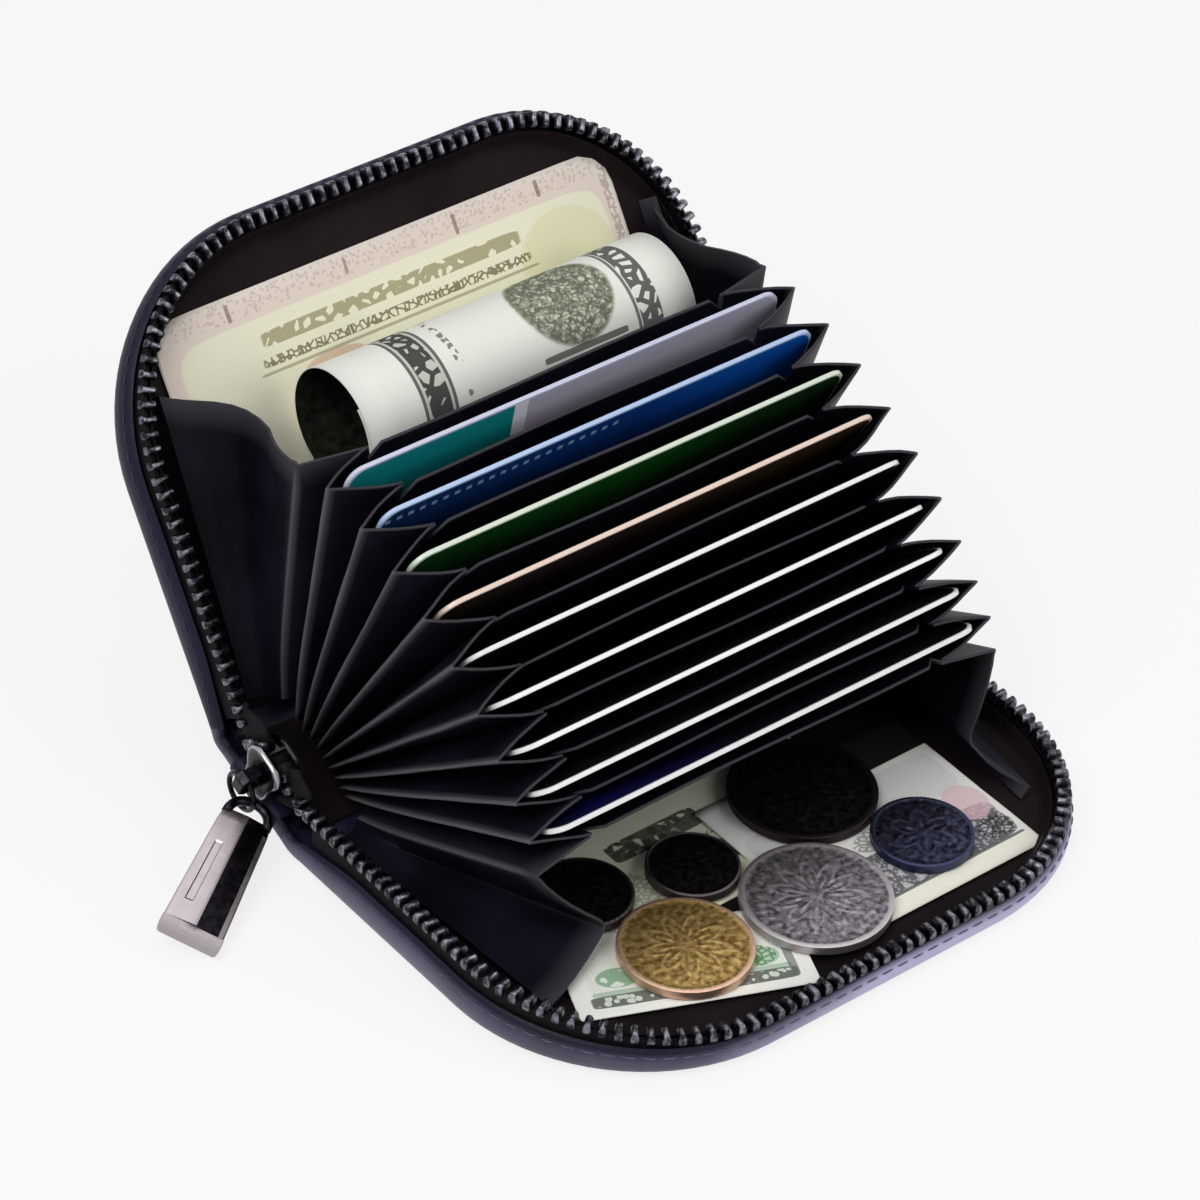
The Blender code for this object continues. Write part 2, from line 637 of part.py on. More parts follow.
def coin_places():
    """Each coin's radius and middle, across and out from the hinge, as it lies beside the others."""
    silver_out = COVER_DEPTH - COIN_FAR_MARGIN - LARGE_COIN_RADIUS
    places = {"coin_silver": (LARGE_COIN_RADIUS, SILVER_COIN_SHARE * COVER_HALF_WIDTH, silver_out)}
    for name, radius, neighbour, direction, space in COIN_CHAIN:
        reach, across, out = places[neighbour]
        reach += radius + space
        places[name] = (radius, across + reach * cos(direction), out + reach * sin(direction))
    return places


def roll(name, holder):
    """A note rolled into a tube, lying along the spine direction."""
    shape = bmesh.new()
    bore = ROLL_RADIUS - ROLL_WALL
    profile = [(ROLL_RADIUS, -1), (ROLL_RADIUS, 1), (bore, 1), (bore, -1)]
    line = [shape.verts.new((end * ROLL_LENGTH / 2, r, 0)) for r, end in profile]
    edges = [shape.edges.new((line[i], line[(i + 1) % len(line)])) for i in range(len(line))]
    bmesh.ops.spin(shape, geom=line + edges, cent=(0, 0, 0), axis=(1, 0, 0), angle=2 * pi,
                   steps=COIN_SIDES, use_merge=True)
    bmesh.ops.remove_doubles(shape, verts=shape.verts, dist=LAYER_GAP / 10)
    piece = new_piece(name, mesh_from(name, shape), paper("rolled_note", (0.75, 0.8, 0.7)), holder)
    piece.data.shade_smooth()
    piece.data.set_sharp_from_angle(angle=SHARP_ANGLE)
    return piece


# Slider and pull, in the spine's frame: x along the spine, y along the chord, z outwards
SLIDER_START = 0.0036
SLIDER_LENGTH = 0.0095
SLIDER_WIDTH = 0.0084
SLIDER_TAIL_WIDTH = 0.0062
SLIDER_PLATE = 0.001
SLIDER_CHANNEL = 0.0034
SLIDER_FLANGE = 0.0009
SLIDER_POST_WIDTH = 0.0016
SLIDER_POST_LENGTH = 0.0018
SHOULDER_END_SHARE = 0.94
SLIDER_MIDDLE_X = -(COVER_HALF_WIDTH - ROW_INSET)
SLIDER_OUTER_X = SLIDER_MIDDLE_X - SLIDER_CHANNEL / 2 - SLIDER_PLATE
BRIDGE_THICKNESS = 0.0009
BRIDGE_WIDTH = 0.0022
BRIDGE_LENGTH = 0.0043
BRIDGE_HEIGHT = 0.0039
BRIDGE_HAUNCH_SHARE = 0.7
BRIDGE_CROWN_SHARE = 0.6
LINK_WIRE = 0.00045
LINK_RADIUS = 0.0032
PIN_CLEARANCE = 0.0022
PULL_LENGTH = 0.0285
PULL_TOP_WIDTH = 0.0032
PULL_END_WIDTH = 0.0102
PULL_TOP_THICKNESS = 0.0012
PULL_END_THICKNESS = 0.0024
PULL_EYE = 0.00085
PULL_EYE_FROM_TOP = 0.0015
PULL_EDGE_SHARE = 0.6
PULL_EYE_SIDES = 16
PULL_TURN = radians(34)


def slider_outline(margin):
    """Half widths of the slider along its length: narrow tail, wide shoulders, blunt nose."""
    tail = SLIDER_TAIL_WIDTH / 2 - margin
    wide = SLIDER_WIDTH / 2 - margin
    blunt = wide - SLIDER_PLATE
    shares = ((0.0, tail), (0.45, tail), (0.8, wide), (SHOULDER_END_SHARE, wide), (1.0, blunt))
    rising = [(half, SLIDER_START + SLIDER_LENGTH * share) for share, half in shares]
    return rising + [(-half, z) for half, z in reversed(rising)]


def slider_body(holder):
    outer = [(SLIDER_OUTER_X, y, z) for y, z in slider_outline(0)]
    inner_x = SLIDER_MIDDLE_X + SLIDER_CHANNEL / 2 + SLIDER_PLATE
    inner = [(inner_x, y, z) for y, z in slider_outline(0)]
    piece = new_piece("slider_body", loft("slider_body", [outer, inner]), zip_metal(), holder)
    half_channel = SLIDER_CHANNEL / 2
    shoulder = SLIDER_START + SLIDER_LENGTH * SHOULDER_END_SHARE
    rings = []
    for x in (SLIDER_MIDDLE_X - half_channel, SLIDER_MIDDLE_X + half_channel):
        ring = []
        for y, z in slider_outline(SLIDER_FLANGE):
            if z >= shoulder - LAYER_GAP:
                z += SLIDER_LENGTH * (1 - SHOULDER_END_SHARE) + SEAT_GAP
            if z <= SLIDER_START:
                z -= SEAT_GAP
            ring.append((x, y, z))
        rings.append(ring)
    channel = new_piece("slider_channel", loft("slider_channel", rings), zip_metal(), holder)
    cut(piece, channel)
    post_high = SLIDER_START + SLIDER_LENGTH - SEAT_GAP
    half_post = SLIDER_POST_WIDTH / 2
    post = box_mesh("slider_post", (SLIDER_OUTER_X + LAYER_GAP, -half_post, post_high - SLIDER_POST_LENGTH),
                    (inner_x - LAYER_GAP, half_post, post_high))
    cut(piece, new_piece("slider_post", post, zip_metal(), holder), "UNION")
    return piece


def slider_bridge(holder):
    """The arch on the slider's outer face that holds the pull's link."""
    middle = SLIDER_START + SLIDER_LENGTH / 2
    foot_x = SLIDER_OUTER_X - LAYER_GAP
    half = BRIDGE_LENGTH / 2
    top = BRIDGE_HEIGHT
    slim = BRIDGE_THICKNESS
    haunch = top * BRIDGE_HAUNCH_SHARE
    crown = half * BRIDGE_CROWN_SHARE
    outline = [(0, -half), (haunch, -half), (top, -crown), (top, crown), (haunch, half), (0, half),
               (0, half - slim), (haunch - slim / 2, half - slim), (top - slim, crown - slim / 2),
               (top - slim, -crown + slim / 2), (haunch - slim / 2, -half + slim), (0, -half + slim)]
    rings = []
    for y in (-BRIDGE_WIDTH / 2, BRIDGE_WIDTH / 2):
        rings.append([(foot_x - out, y, middle + z) for out, z in outline])
    bridge = new_piece("slider_bridge", loft("slider_bridge", rings), zip_metal(), holder)
    return bevel(bridge, LAYER_GAP, 1)


def wire_loop(name, points, radius, look, holder):
    """A closed ring of round wire through these points."""
    curve = bpy.data.curves.new(name, "CURVE")
    curve.dimensions = "3D"
    curve.bevel_depth = radius
    curve.bevel_resolution = 2
    spline = curve.splines.new("POLY")
    spline.points.add(len(points) - 1)
    for target, point in zip(spline.points, points):
        target.co = (*point, 1)
    spline.use_cyclic_u = True
    ring = bpy.data.objects.new(name, curve)
    parts.objects.link(ring)
    evaluated = ring.evaluated_get(bpy.context.evaluated_depsgraph_get())
    mesh = bpy.data.meshes.new_from_object(evaluated)
    bpy.data.objects.remove(ring)
    return new_piece(name, mesh, look, holder)


def link_frame():
    """The spine's axes, with the origin on the bridge pin that the link swings about."""
    pin_x = SLIDER_OUTER_X - PIN_CLEARANCE
    return SPINE_FRAME @ Matrix.Translation((pin_x, SPINE_CHORD / 2, SLIDER_START + SLIDER_LENGTH / 2))


def pull_frame():
    """Origin in the pull's eye on the link; z runs along the pull, x across its flat faces."""
    eye = link_frame() @ Matrix.Translation((0, -LINK_RADIUS, -LINK_RADIUS))
    lie_down = Matrix.Rotation(-pi / 2, 4, "Y")
    return eye @ Matrix.Rotation(PULL_TURN, 4, "Z") @ lie_down


def pull_link(holder):
    """A jump ring through the bridge and the pull's eye."""
    points = []
    steps = FINE_STEPS
    for i in range(steps):
        turn = 2 * pi * i / steps
        points.append((0, LINK_RADIUS * sin(turn), LINK_RADIUS * (cos(turn) - 1)))
    return wire_loop("pull_link", points, LINK_WIRE, zip_metal(), holder)


def pull_tab(holder):
    """A tapered tab, thin at its eye and thick at its rounded end."""
    shares = ((0.0, 0.0), (0.09, 0.06), (0.3, 0.48), (0.82, 0.95), (0.95, 1.0), (1.0, 0.86))
    rings = []
    for along, size in shares:
        half_wide = (PULL_TOP_WIDTH + (PULL_END_WIDTH - PULL_TOP_WIDTH) * size) / 2
        half_thick = (PULL_TOP_THICKNESS + (PULL_END_THICKNESS - PULL_TOP_THICKNESS) * size) / 2
        z = -PULL_EYE_FROM_TOP + PULL_LENGTH * along
        edge = half_thick * PULL_EDGE_SHARE
        flat = half_wide - edge
        rings.append([(half_thick, -flat, z), (half_thick, flat, z), (0, half_wide, z),
                      (-half_thick, flat, z), (-half_thick, -flat, z), (0, -half_wide, z)])
    piece = new_piece("pull_tab", loft("pull_tab", rings), zip_metal(), holder)
    eye = bmesh.new()
    bmesh.ops.create_cone(eye, cap_ends=True, segments=PULL_EYE_SIDES, radius1=PULL_EYE, radius2=PULL_EYE,
                          depth=PULL_END_THICKNESS * 2, matrix=Matrix.Rotation(pi / 2, 4, "Y"))
    hole = new_piece("pull_eye", mesh_from("pull_eye", eye), zip_metal(), holder)
    return cut(piece, hole)


# Assembly: each body's pieces, in the frame of its joint
def build_cover(prefix, frame):
    cover = body(f"{prefix}_cover", frame)
    leather_cover(f"{prefix}_cover", cover)
    cover_plate(f"{prefix}_board", cover, BOARD_BOTTOM, BOARD, paper("grey_board", (0.25, 0.24, 0.22)))
    cover_plate(f"{prefix}_lining", cover, LINING_BOTTOM, LINING, lining_leather())
    zip_tape(f"{prefix}_zip_tape", cover)
    teeth_row(f"{prefix}_zip_teeth", body(f"{prefix}_zip", frame))
    return cover


def build_fan():
    for k, frame in enumerate(DIVIDER_FRAMES):
        divider(f"divider_{k + 1:02d}", frame, body(f"divider_{k + 1:02d}", frame))
    for k, frame in enumerate(POCKET_FRAMES):
        pocket = body(f"pocket_{k + 1}", frame)
        pocket_gusset(f"pocket_gusset_{k + 1}", k, pocket)
        card(f"card_{k + 1}", body(f"card_{k + 1}", frame), CARD_COLOURS[k])


def build_contents(front, back):
    for name, across, half_across, out, half_out, turn, layer in NOTE_SHARES:
        bottom = LINING_TOP + NOTE_GAP + layer * (NOTE_THICKNESS + NOTE_GAP)
        middle = (across * COVER_HALF_WIDTH, out * COVER_DEPTH)
        half_size = (half_across * COVER_HALF_WIDTH, half_out * COVER_DEPTH)
        note(name, front, middle, half_size, turn, bottom)
    half_width, near, far = BACK_NOTE_SHARES
    outline = rounded_outline(half_width * COVER_HALF_WIDTH, near * COVER_DEPTH, far * COVER_DEPTH,
                              BACK_NOTE_CORNER, NOTE_CORNER)
    mesh = flat_plate("note_back", outline, LINING_TOP + SEAT_GAP, BACK_NOTE_THICKNESS)
    new_piece("note_back", mesh, paper("cream_note", (0.8, 0.77, 0.5)), back)
    for name, (radius, across, out) in coin_places().items():
        centre = FRONT_FRAME @ Vector((across, COIN_BOTTOM + COIN_THICKNESS / 2, out))
        coin(name, body(name, frame_at(centre, 0)), radius, COIN_COLOURS.get(name, DARK_COIN_COLOUR))
    across, out = ROLL_PLACE_SHARES
    height = LINING_TOP + SEAT_GAP + BACK_NOTE_THICKNESS + SEAT_GAP + ROLL_RADIUS
    centre = BACK_FRAME @ Vector((-across * COVER_HALF_WIDTH, height, out * COVER_DEPTH))
    roll("note_roll", body("note_roll", frame_at(centre, OPENING_ANGLE)))


def build_slider():
    middle = SPINE_FRAME @ Vector((0, SPINE_CHORD / 2, 0))
    slider = body("slider", frame_at(middle, SPINE_ANGLE))
    slider_body(slider)
    slider_bridge(slider)
    pull_link(body("pull_link", link_frame()))
    pull_tab(body("pull_tab", pull_frame()))


front_body = build_cover("front", FRONT_FRAME)
back_body = build_cover("back", BACK_FRAME)
spine_body = body("spine", SPINE_FRAME)
spine_pieces(spine_body)
build_fan()
compartment_gusset("front_gusset", front_body, DIVIDER_FRAMES[-1], -1, 1, FRONT_FOLD_SHARES,
                   FRONT_FOLD_HEIGHT)
compartment_gusset("back_gusset", back_body, DIVIDER_FRAMES[0], 1, -1, BACK_FOLD_SHARES,
                   BACK_FOLD_HEIGHT)
build_contents(front_body, back_body)
build_slider()
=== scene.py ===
import json
from math import cos, sin, pi, radians, sqrt, hypot

import bmesh
import bpy
from mathutils import Matrix, Vector, noise


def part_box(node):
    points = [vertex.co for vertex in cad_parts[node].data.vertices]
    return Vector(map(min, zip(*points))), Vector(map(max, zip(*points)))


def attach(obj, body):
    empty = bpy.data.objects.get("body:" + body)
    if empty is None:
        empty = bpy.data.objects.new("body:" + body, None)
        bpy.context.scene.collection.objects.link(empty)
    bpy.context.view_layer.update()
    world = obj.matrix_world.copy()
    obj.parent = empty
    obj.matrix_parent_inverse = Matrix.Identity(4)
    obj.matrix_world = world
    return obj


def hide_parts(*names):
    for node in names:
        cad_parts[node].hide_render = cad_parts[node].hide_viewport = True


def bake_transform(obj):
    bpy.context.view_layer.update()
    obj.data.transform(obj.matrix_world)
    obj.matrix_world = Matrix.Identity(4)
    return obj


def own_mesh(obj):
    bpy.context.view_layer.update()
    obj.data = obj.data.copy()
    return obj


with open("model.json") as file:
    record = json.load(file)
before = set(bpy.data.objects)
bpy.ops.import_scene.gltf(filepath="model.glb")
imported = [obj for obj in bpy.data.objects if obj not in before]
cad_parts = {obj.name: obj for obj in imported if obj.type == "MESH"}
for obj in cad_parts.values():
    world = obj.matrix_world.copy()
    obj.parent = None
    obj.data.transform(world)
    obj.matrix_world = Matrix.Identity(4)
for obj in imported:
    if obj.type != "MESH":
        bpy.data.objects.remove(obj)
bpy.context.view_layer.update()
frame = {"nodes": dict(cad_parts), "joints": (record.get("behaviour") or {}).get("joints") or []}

# Camera: a long lens from the front left and above, a little rolled, as the wallet was photographed.
CAMERA_AZIMUTH = radians(-41.56)
CAMERA_ELEVATION = radians(38.77)
CAMERA_ROLL = radians(4.28)
CAMERA_PLACE = Vector((-0.40775, -0.42636, 0.52154))
CAMERA_LENS_MM = 150

level = Vector((cos(CAMERA_AZIMUTH), sin(CAMERA_AZIMUTH), 0))
backwards = Vector((sin(CAMERA_AZIMUTH) * cos(CAMERA_ELEVATION),
                    -cos(CAMERA_AZIMUTH) * cos(CAMERA_ELEVATION), sin(CAMERA_ELEVATION)))
upright = backwards.cross(level)
right = level * cos(CAMERA_ROLL) + upright * sin(CAMERA_ROLL)
up = upright * cos(CAMERA_ROLL) - level * sin(CAMERA_ROLL)
lens = bpy.data.cameras.new("photo_camera")
lens.lens = CAMERA_LENS_MM
lens.sensor_width = 36
lens.clip_end = 10
camera = bpy.data.objects.new("photo_camera", lens)
camera.matrix_world = Matrix.Translation(CAMERA_PLACE) @ Matrix((right, up, backwards)).transposed().to_4x4()
bpy.context.scene.collection.objects.link(camera)
bpy.context.scene.camera = camera
bpy.context.scene.view_settings.view_transform = "Standard"


# Studio: a matt white sweep that the camera and every reflection see as white, and three soft boxes.
def linear(colour):
    """An sRGB hex colour as linear red, green, blue."""
    shares = [int(colour[i:i + 2], 16) / 255 for i in (1, 3, 5)]
    return [s / 12.92 if s <= 0.04045 else ((s + 0.055) / 1.055) ** 2.4 for s in shares]


def node(owner, kind, inputs=None, stops=(), **settings):
    """Adds one node: its own settings, its sockets' values, hex colours or links, and a ramp's stops."""
    made = owner.node_tree.nodes.new(kind)
    for setting, value in settings.items():
        setattr(made, setting, value)
    for socket, value in (inputs or {}).items():
        if isinstance(value, bpy.types.NodeSocket):
            owner.node_tree.links.new(value, made.inputs[socket])
        else:
            made.inputs[socket].default_value = (*linear(value), 1) if isinstance(value, str) else value
    for i, (place, colour) in enumerate(stops):
        elements = made.color_ramp.elements
        stop = elements[i] if i < 2 else elements.new(place)
        stop.position = place
        stop.color = (*linear(colour), 1)
    return made


def finish(name, colour, roughness, sockets=None):
    """A material with a plain base colour and roughness, to which its section adds the detail."""
    made = bpy.data.materials.new(name)
    made.use_nodes = True
    plain = {"Base Color": (*linear(colour), 1), "Roughness": roughness, **(sockets or {})}
    for socket, value in plain.items():
        made.node_tree.nodes["Principled BSDF"].inputs[socket].default_value = value
    return made


def seen(owner):
    """1 for what the camera sees, also in gloss or through glass, and 0 for light that falls on the rest."""
    path = node(owner, "ShaderNodeLightPath").outputs
    direct = node(owner, "ShaderNodeMath", {0: path["Is Camera Ray"], 1: path["Is Glossy Ray"]},
                  operation="MAXIMUM")
    either = node(owner, "ShaderNodeMath", {0: direct.outputs[0], 1: path["Is Transmission Ray"]},
                  operation="MAXIMUM")
    return either.outputs[0]


FLOOR_HALF = 1.6
FLOOR_DROP = 0.0001
FLOOR_WHITE = 0.8
sweep_paint = finish("matt_white_sweep_paper", "#f4f4f4", 0.9, {"Specular IOR Level": 0})
shaded = sweep_paint.node_tree.nodes["Principled BSDF"].outputs[0]
white = node(sweep_paint, "ShaderNodeEmission", {"Color": (1, 1, 1, 1), "Strength": 1})
white_share = node(sweep_paint, "ShaderNodeMath", {0: seen(sweep_paint), 1: FLOOR_WHITE},
                   operation="MULTIPLY")
sweep_mix = node(sweep_paint, "ShaderNodeMixShader", {0: white_share.outputs[0], 1: shaded,
                                                      2: white.outputs[0]})
sweep_output = sweep_paint.node_tree.nodes["Material Output"]
sweep_paint.node_tree.links.new(sweep_mix.outputs[0], sweep_output.inputs["Surface"])
sweep = bpy.data.meshes.new("studio_sweep")
sweep_shape = bmesh.new()
bmesh.ops.create_grid(sweep_shape, x_segments=8, y_segments=8, size=FLOOR_HALF)
sweep_shape.to_mesh(sweep)
sweep_shape.free()
sweep.materials.append(sweep_paint)
floor = bpy.data.objects.new("studio_sweep", sweep)
floor.location.z = -FLOOR_DROP
bpy.context.scene.collection.objects.link(floor)

ROOM_LIGHT = 0.26
world = bpy.data.worlds.new("studio_air")
world.use_nodes = True
bpy.context.scene.world = world
air = world.node_tree.nodes["Background"]
air.inputs["Color"].default_value = (1, 1, 1, 1)
air_strength = node(world, "ShaderNodeMapRange", {"Value": seen(world), "To Min": ROOM_LIGHT, "To Max": 1.0})
world.node_tree.links.new(air_strength.outputs[0], air.inputs["Strength"])

# Soft boxes: azimuth and elevation that the light comes from in degrees, distance, size and share of light
SOFT_BOXES = [("key_soft_box", -75, 52, 0.75, 0.45, 0.46), ("fill_soft_box", 35, 32, 0.85, 0.6, 0.32),
              ("top_soft_box", 150, 72, 0.8, 0.55, 0.14)]
LIT_PLACE = Vector((0, 0.02, 0.02))
for label, azimuth, elevation, distance, size, share in SOFT_BOXES:
    turn, lift = radians(azimuth), radians(elevation)
    towards = Vector((sin(turn) * cos(lift), -cos(turn) * cos(lift), sin(lift)))
    lamp = bpy.data.lights.new(label, "AREA")
    lamp.size = size
    lamp.energy = share * (pi * distance) ** 2
    box = bpy.data.objects.new(label, lamp)
    box.location = LIT_PLACE + towards * distance
    box.rotation_euler = towards.to_track_quat("Z", "Y").to_euler()
    bpy.context.scene.collection.objects.link(box)


# Outer leather of both covers: one skin of nappa cowhide about a millimetre thick, dyed midnight navy
# and waxed. It is turned up round three sides and folded in over the zip tape, and a row of waxed
# thread runs round a few millimetres below the rim.
joints = {joint["name"]: joint for joint in frame["joints"]}
FRONT_HINGE = Vector(joints["front_fold"]["pos_m"])
BACK_HINGE = Vector(joints["back_fold"]["pos_m"])
BACK_SLOPE = radians(125)
ACROSS = Vector((1, 0, 0))
COVERS = {"front": (FRONT_HINGE, Vector((0, -1, 0)), Vector((0, 0, 1))),
          "back": (BACK_HINGE, Vector((0, -cos(BACK_SLOPE), sin(BACK_SLOPE))),
                   Vector((0, -sin(BACK_SLOPE), -cos(BACK_SLOPE))))}
HALF_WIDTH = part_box("front_cover")[1].x
DEPTH = FRONT_HINGE.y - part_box("front_cover")[0].y
CORNER = 0.0345
COVER_ROOT = 0.0026
PLATE_BOTTOM = -FRONT_HINGE.z
LEATHER = 0.001
ZIP_RISE = joints["front_zip_rise"]["range_m"][1]
# The teeth stand fully raised at the slider and lie down along the cover's diagonal
LYING_FROM = 0.0226
LYING_TO = 0.0816
SIDE_LENGTH = DEPTH - CORNER - COVER_ROOT
TURN_LENGTH = CORNER * pi / 2
FAR_LENGTH = 2 * (HALF_WIDTH - CORNER)
EDGE_LENGTH = 2 * SIDE_LENGTH + 2 * TURN_LENGTH + FAR_LENGTH


def on_cover(side, x, height, out):
    """A point over a cover: x along the spine, height above its hinge plane, out from the hinge."""
    hinge, outwards, inwards = COVERS[side]
    return hinge + ACROSS * x + inwards * height + outwards * out


def edge_place(walked, inset):
    """A place so far round the cover's edge, from the right end of its hinge, and the way outwards."""
    if walked <= SIDE_LENGTH:
        return HALF_WIDTH - inset, COVER_ROOT + walked, 1, 0
    walked -= SIDE_LENGTH
    straight = HALF_WIDTH - CORNER
    reach = CORNER - inset
    if walked <= TURN_LENGTH:
        turn = walked / CORNER
        return straight + reach * cos(turn), DEPTH - CORNER + reach * sin(turn), cos(turn), sin(turn)
    walked -= TURN_LENGTH
    if walked <= FAR_LENGTH:
        return straight - walked, DEPTH - inset, 0, 1
    walked -= FAR_LENGTH
    if walked <= TURN_LENGTH:
        turn = pi / 2 + walked / CORNER
        return -straight + reach * cos(turn), DEPTH - CORNER + reach * sin(turn), cos(turn), sin(turn)
    return -HALF_WIDTH + inset, DEPTH - CORNER - (walked - TURN_LENGTH), -1, 0


def smooth(share):
    """A share kept from 0 to 1, and eased in and out."""
    share = min(max(share, 0), 1)
    return share * share * (3 - 2 * share)


def raised(x, out):
    """How much of the zip's rise is already taken at rest, where the open zip still stands up."""
    return 1 - smooth(((x + HALF_WIDTH + out) / sqrt(2) - LYING_FROM) / (LYING_TO - LYING_FROM))


def skin(name, grids, material, marks=None, ring=False, lids=False):
    """A piece through grids of points. marks are a value each for the material to read: across, out, edge."""
    shape = bmesh.new()
    for rows in grids:
        made = [[shape.verts.new(point) for point in row] for row in rows]
        for row, following in zip(made, made[1:]):
            for i in range(len(row) if ring else len(row) - 1):
                after = (i + 1) % len(row)
                shape.faces.new((row[i], row[after], following[after], following[i]))
        if lids:
            shape.faces.new(made[0][::-1])
            shape.faces.new(made[-1])
    bmesh.ops.recalc_face_normals(shape, faces=shape.faces)
    mesh = bpy.data.meshes.new(name)
    shape.to_mesh(mesh)
    shape.free()
    mesh.shade_smooth()
    mesh.materials.append(material)
    if marks:
        kept = mesh.attributes.new("marks", "FLOAT_VECTOR", "POINT")
        kept.data.foreach_set("vector", [share for grid in marks for row in grid for mark in row
                                         for share in mark])
    piece = bpy.data.objects.new(name, mesh)
    bpy.context.scene.collection.objects.link(piece)
    return piece


def worked(piece, *steps):
    """Works a piece with modifiers, each a kind and its settings, and keeps the result as its mesh."""
    for kind, settings in steps:
        step = piece.modifiers.new(kind.lower(), kind)
        for setting, value in settings.items():
            setattr(step, setting, value)
    finished = piece.evaluated_get(bpy.context.evaluated_depsgraph_get())
    mesh = bpy.data.meshes.new_from_object(finished)
    piece.modifiers.clear()
    piece.data = mesh


def sharpened(piece, degrees):
    """Shades a piece smooth, but for edges that turn by more than this."""
    piece.data.shade_smooth()
    piece.data.set_sharp_from_angle(angle=radians(degrees))


def join_up(material, output, socket):
    """Links an output to the material's shader."""
    material.node_tree.links.new(output, material.node_tree.nodes["Principled BSDF"].inputs[socket])


# Waxed nappa: pebbled grain about 0.8 mm across, near black with a violet cast, and a painted reflection
# of the white floor in pale lavender along the lowest edge, which marks carry
GRAIN_WIDTH = 0.0008
nappa = finish("waxed_navy_nappa_cowhide", "#17151f", 0.42, {"Specular IOR Level": 0.14})
place = node(nappa, "ShaderNodeTexCoord").outputs["Object"]
marks = node(nappa, "ShaderNodeAttribute", attribute_name="marks").outputs["Vector"]
painted_light_mark = node(nappa, "ShaderNodeSeparateXYZ", {0: marks}).outputs[2]
dye_and_reflection_noise = node(nappa, "ShaderNodeTexNoise", {"Vector": place, "Scale": 1 / (60 * GRAIN_WIDTH), "Detail": 4.0})
tone = node(nappa, "ShaderNodeValToRGB", {0: dye_and_reflection_noise.outputs[0]}, [(0.35, "#131121"), (0.65, "#232038")])
# Painted reflection: the marks, made patchy by the noise, mix in a pale lavender
reflection_amount = node(nappa, "ShaderNodeMath", {0: painted_light_mark, 1: dye_and_reflection_noise.outputs[0]}, operation="MULTIPLY")
reflection_ranged = node(nappa, "ShaderNodeMapRange", {"Value": reflection_amount.outputs[0], "From Min": 0.05, "From Max": 0.45})
reflection_tone = node(nappa, "ShaderNodeMix", {0: reflection_ranged.outputs[0], 6: tone.outputs[0], 7: "#c2bedd"},
                   data_type="RGBA")
join_up(nappa, reflection_tone.outputs[2], "Base Color")
pebble = node(nappa, "ShaderNodeTexVoronoi", {"Vector": place, "Scale": 1 / GRAIN_WIDTH},
              feature="DISTANCE_TO_EDGE")
pebble_height = node(nappa, "ShaderNodeMapRange", {"Value": pebble.outputs[0], "From Max": 0.25})
pebble_bump = node(nappa, "ShaderNodeBump", {"Strength": 0.35, "Distance": GRAIN_WIDTH / 10,
                                             "Height": pebble_height.outputs[0]})
join_up(nappa, pebble_bump.outputs[0], "Normal")

# The edge's section from the flat outer face, round the turned-up side and over the rim, to the inside:
# how far inside the outline, how high above the hinge plane, and how much painted reflection it takes
EDGE_SECTION = [(0.0085, -0.0011, 0), (0.0042, -0.0011, 0), (0.0026, -0.00105, 0.5), (0.0014, -0.0007, 0.9),
                (0.0006, 0, 1), (0.0001, 0.0009, 1), (0, 0.0019, 0.9), (0.0002, 0.0029, 0.6),
                (0.0005, 0.0035, 0.3), (0.0010, 0.00375, 0), (0.0014, 0.0034, 0), (0.0015, 0.0022, 0),
                (0.0017, 0.0007, 0), (0.0026, -0.0001, 0), (0.0042, -0.0001, 0), (0.0085, -0.0001, 0)]
RIM_HEIGHT = 0.00375
RIM_FOLLOW_SHARE = 0.42
RIM_EASE = 0.012
EDGE_STATIONS = 88
# The front cover's painted reflection grows along x from its least share to full
REFLECTION_FROM, REFLECTION_FULL, REFLECTION_LEAST = -0.034, -0.006, 0.28


def rim_lift(x, out, height):
    """The rim is drawn up a little by the zip where that stands, but not at the fold."""
    above = max(height, 0) / RIM_HEIGHT
    eased = min(max(out - COVER_ROOT, 0) / RIM_EASE, 1)
    return ZIP_RISE * RIM_FOLLOW_SHARE * raised(x, out) * above * eased


def edge_rows(side, walks, section, lift):
    """A section carried round a cover's edge, each point raised by the lift at its place and height."""
    rows = []
    for walked in walks:
        row = []
        for inset, height, *reflection_share in section:
            x, out = edge_place(walked, inset)[:2]
            row.append(on_cover(side, x, height + lift(x, out, height), out))
        rows.append(row)
    return rows


def close_over(piece, per_station, lines, with_ends=False):
    """Fills in the flat middle of a cover between the ends of its stations."""
    plate = bmesh.new()
    plate.from_mesh(piece.data)
    plate.verts.ensure_lookup_table()
    stations = len(plate.verts) // per_station
    for line in lines:
        plate.faces.new([plate.verts[i * per_station + line] for i in range(stations)])
    if with_ends:
        first = [plate.verts[i] for i in range(per_station)]
        last = [plate.verts[(stations - 1) * per_station + i] for i in range(per_station)]
        plate.faces.new(first[::-1] + last)
    bmesh.ops.triangulate(plate, faces=[f for f in plate.faces if len(f.verts) > 4])
    bmesh.ops.recalc_face_normals(plate, faces=plate.faces)
    plate.to_mesh(piece.data)
    plate.free()
    sharpened(piece, 50)


def painted_reflection_marks(side, x):
    """The marks of one station: painted reflection, on the front cover only and most on its undermost right
    part.
    """
    if side == "back":
        return [(0, 0, 0)] * len(EDGE_SECTION)
    most = min(max((x - REFLECTION_FROM) / (REFLECTION_FULL - REFLECTION_FROM), 0), 1)
    share = REFLECTION_LEAST + (1 - REFLECTION_LEAST) * most
    return [(0, 0, reflection_share * share) for inset, height, reflection_share in EDGE_SECTION]


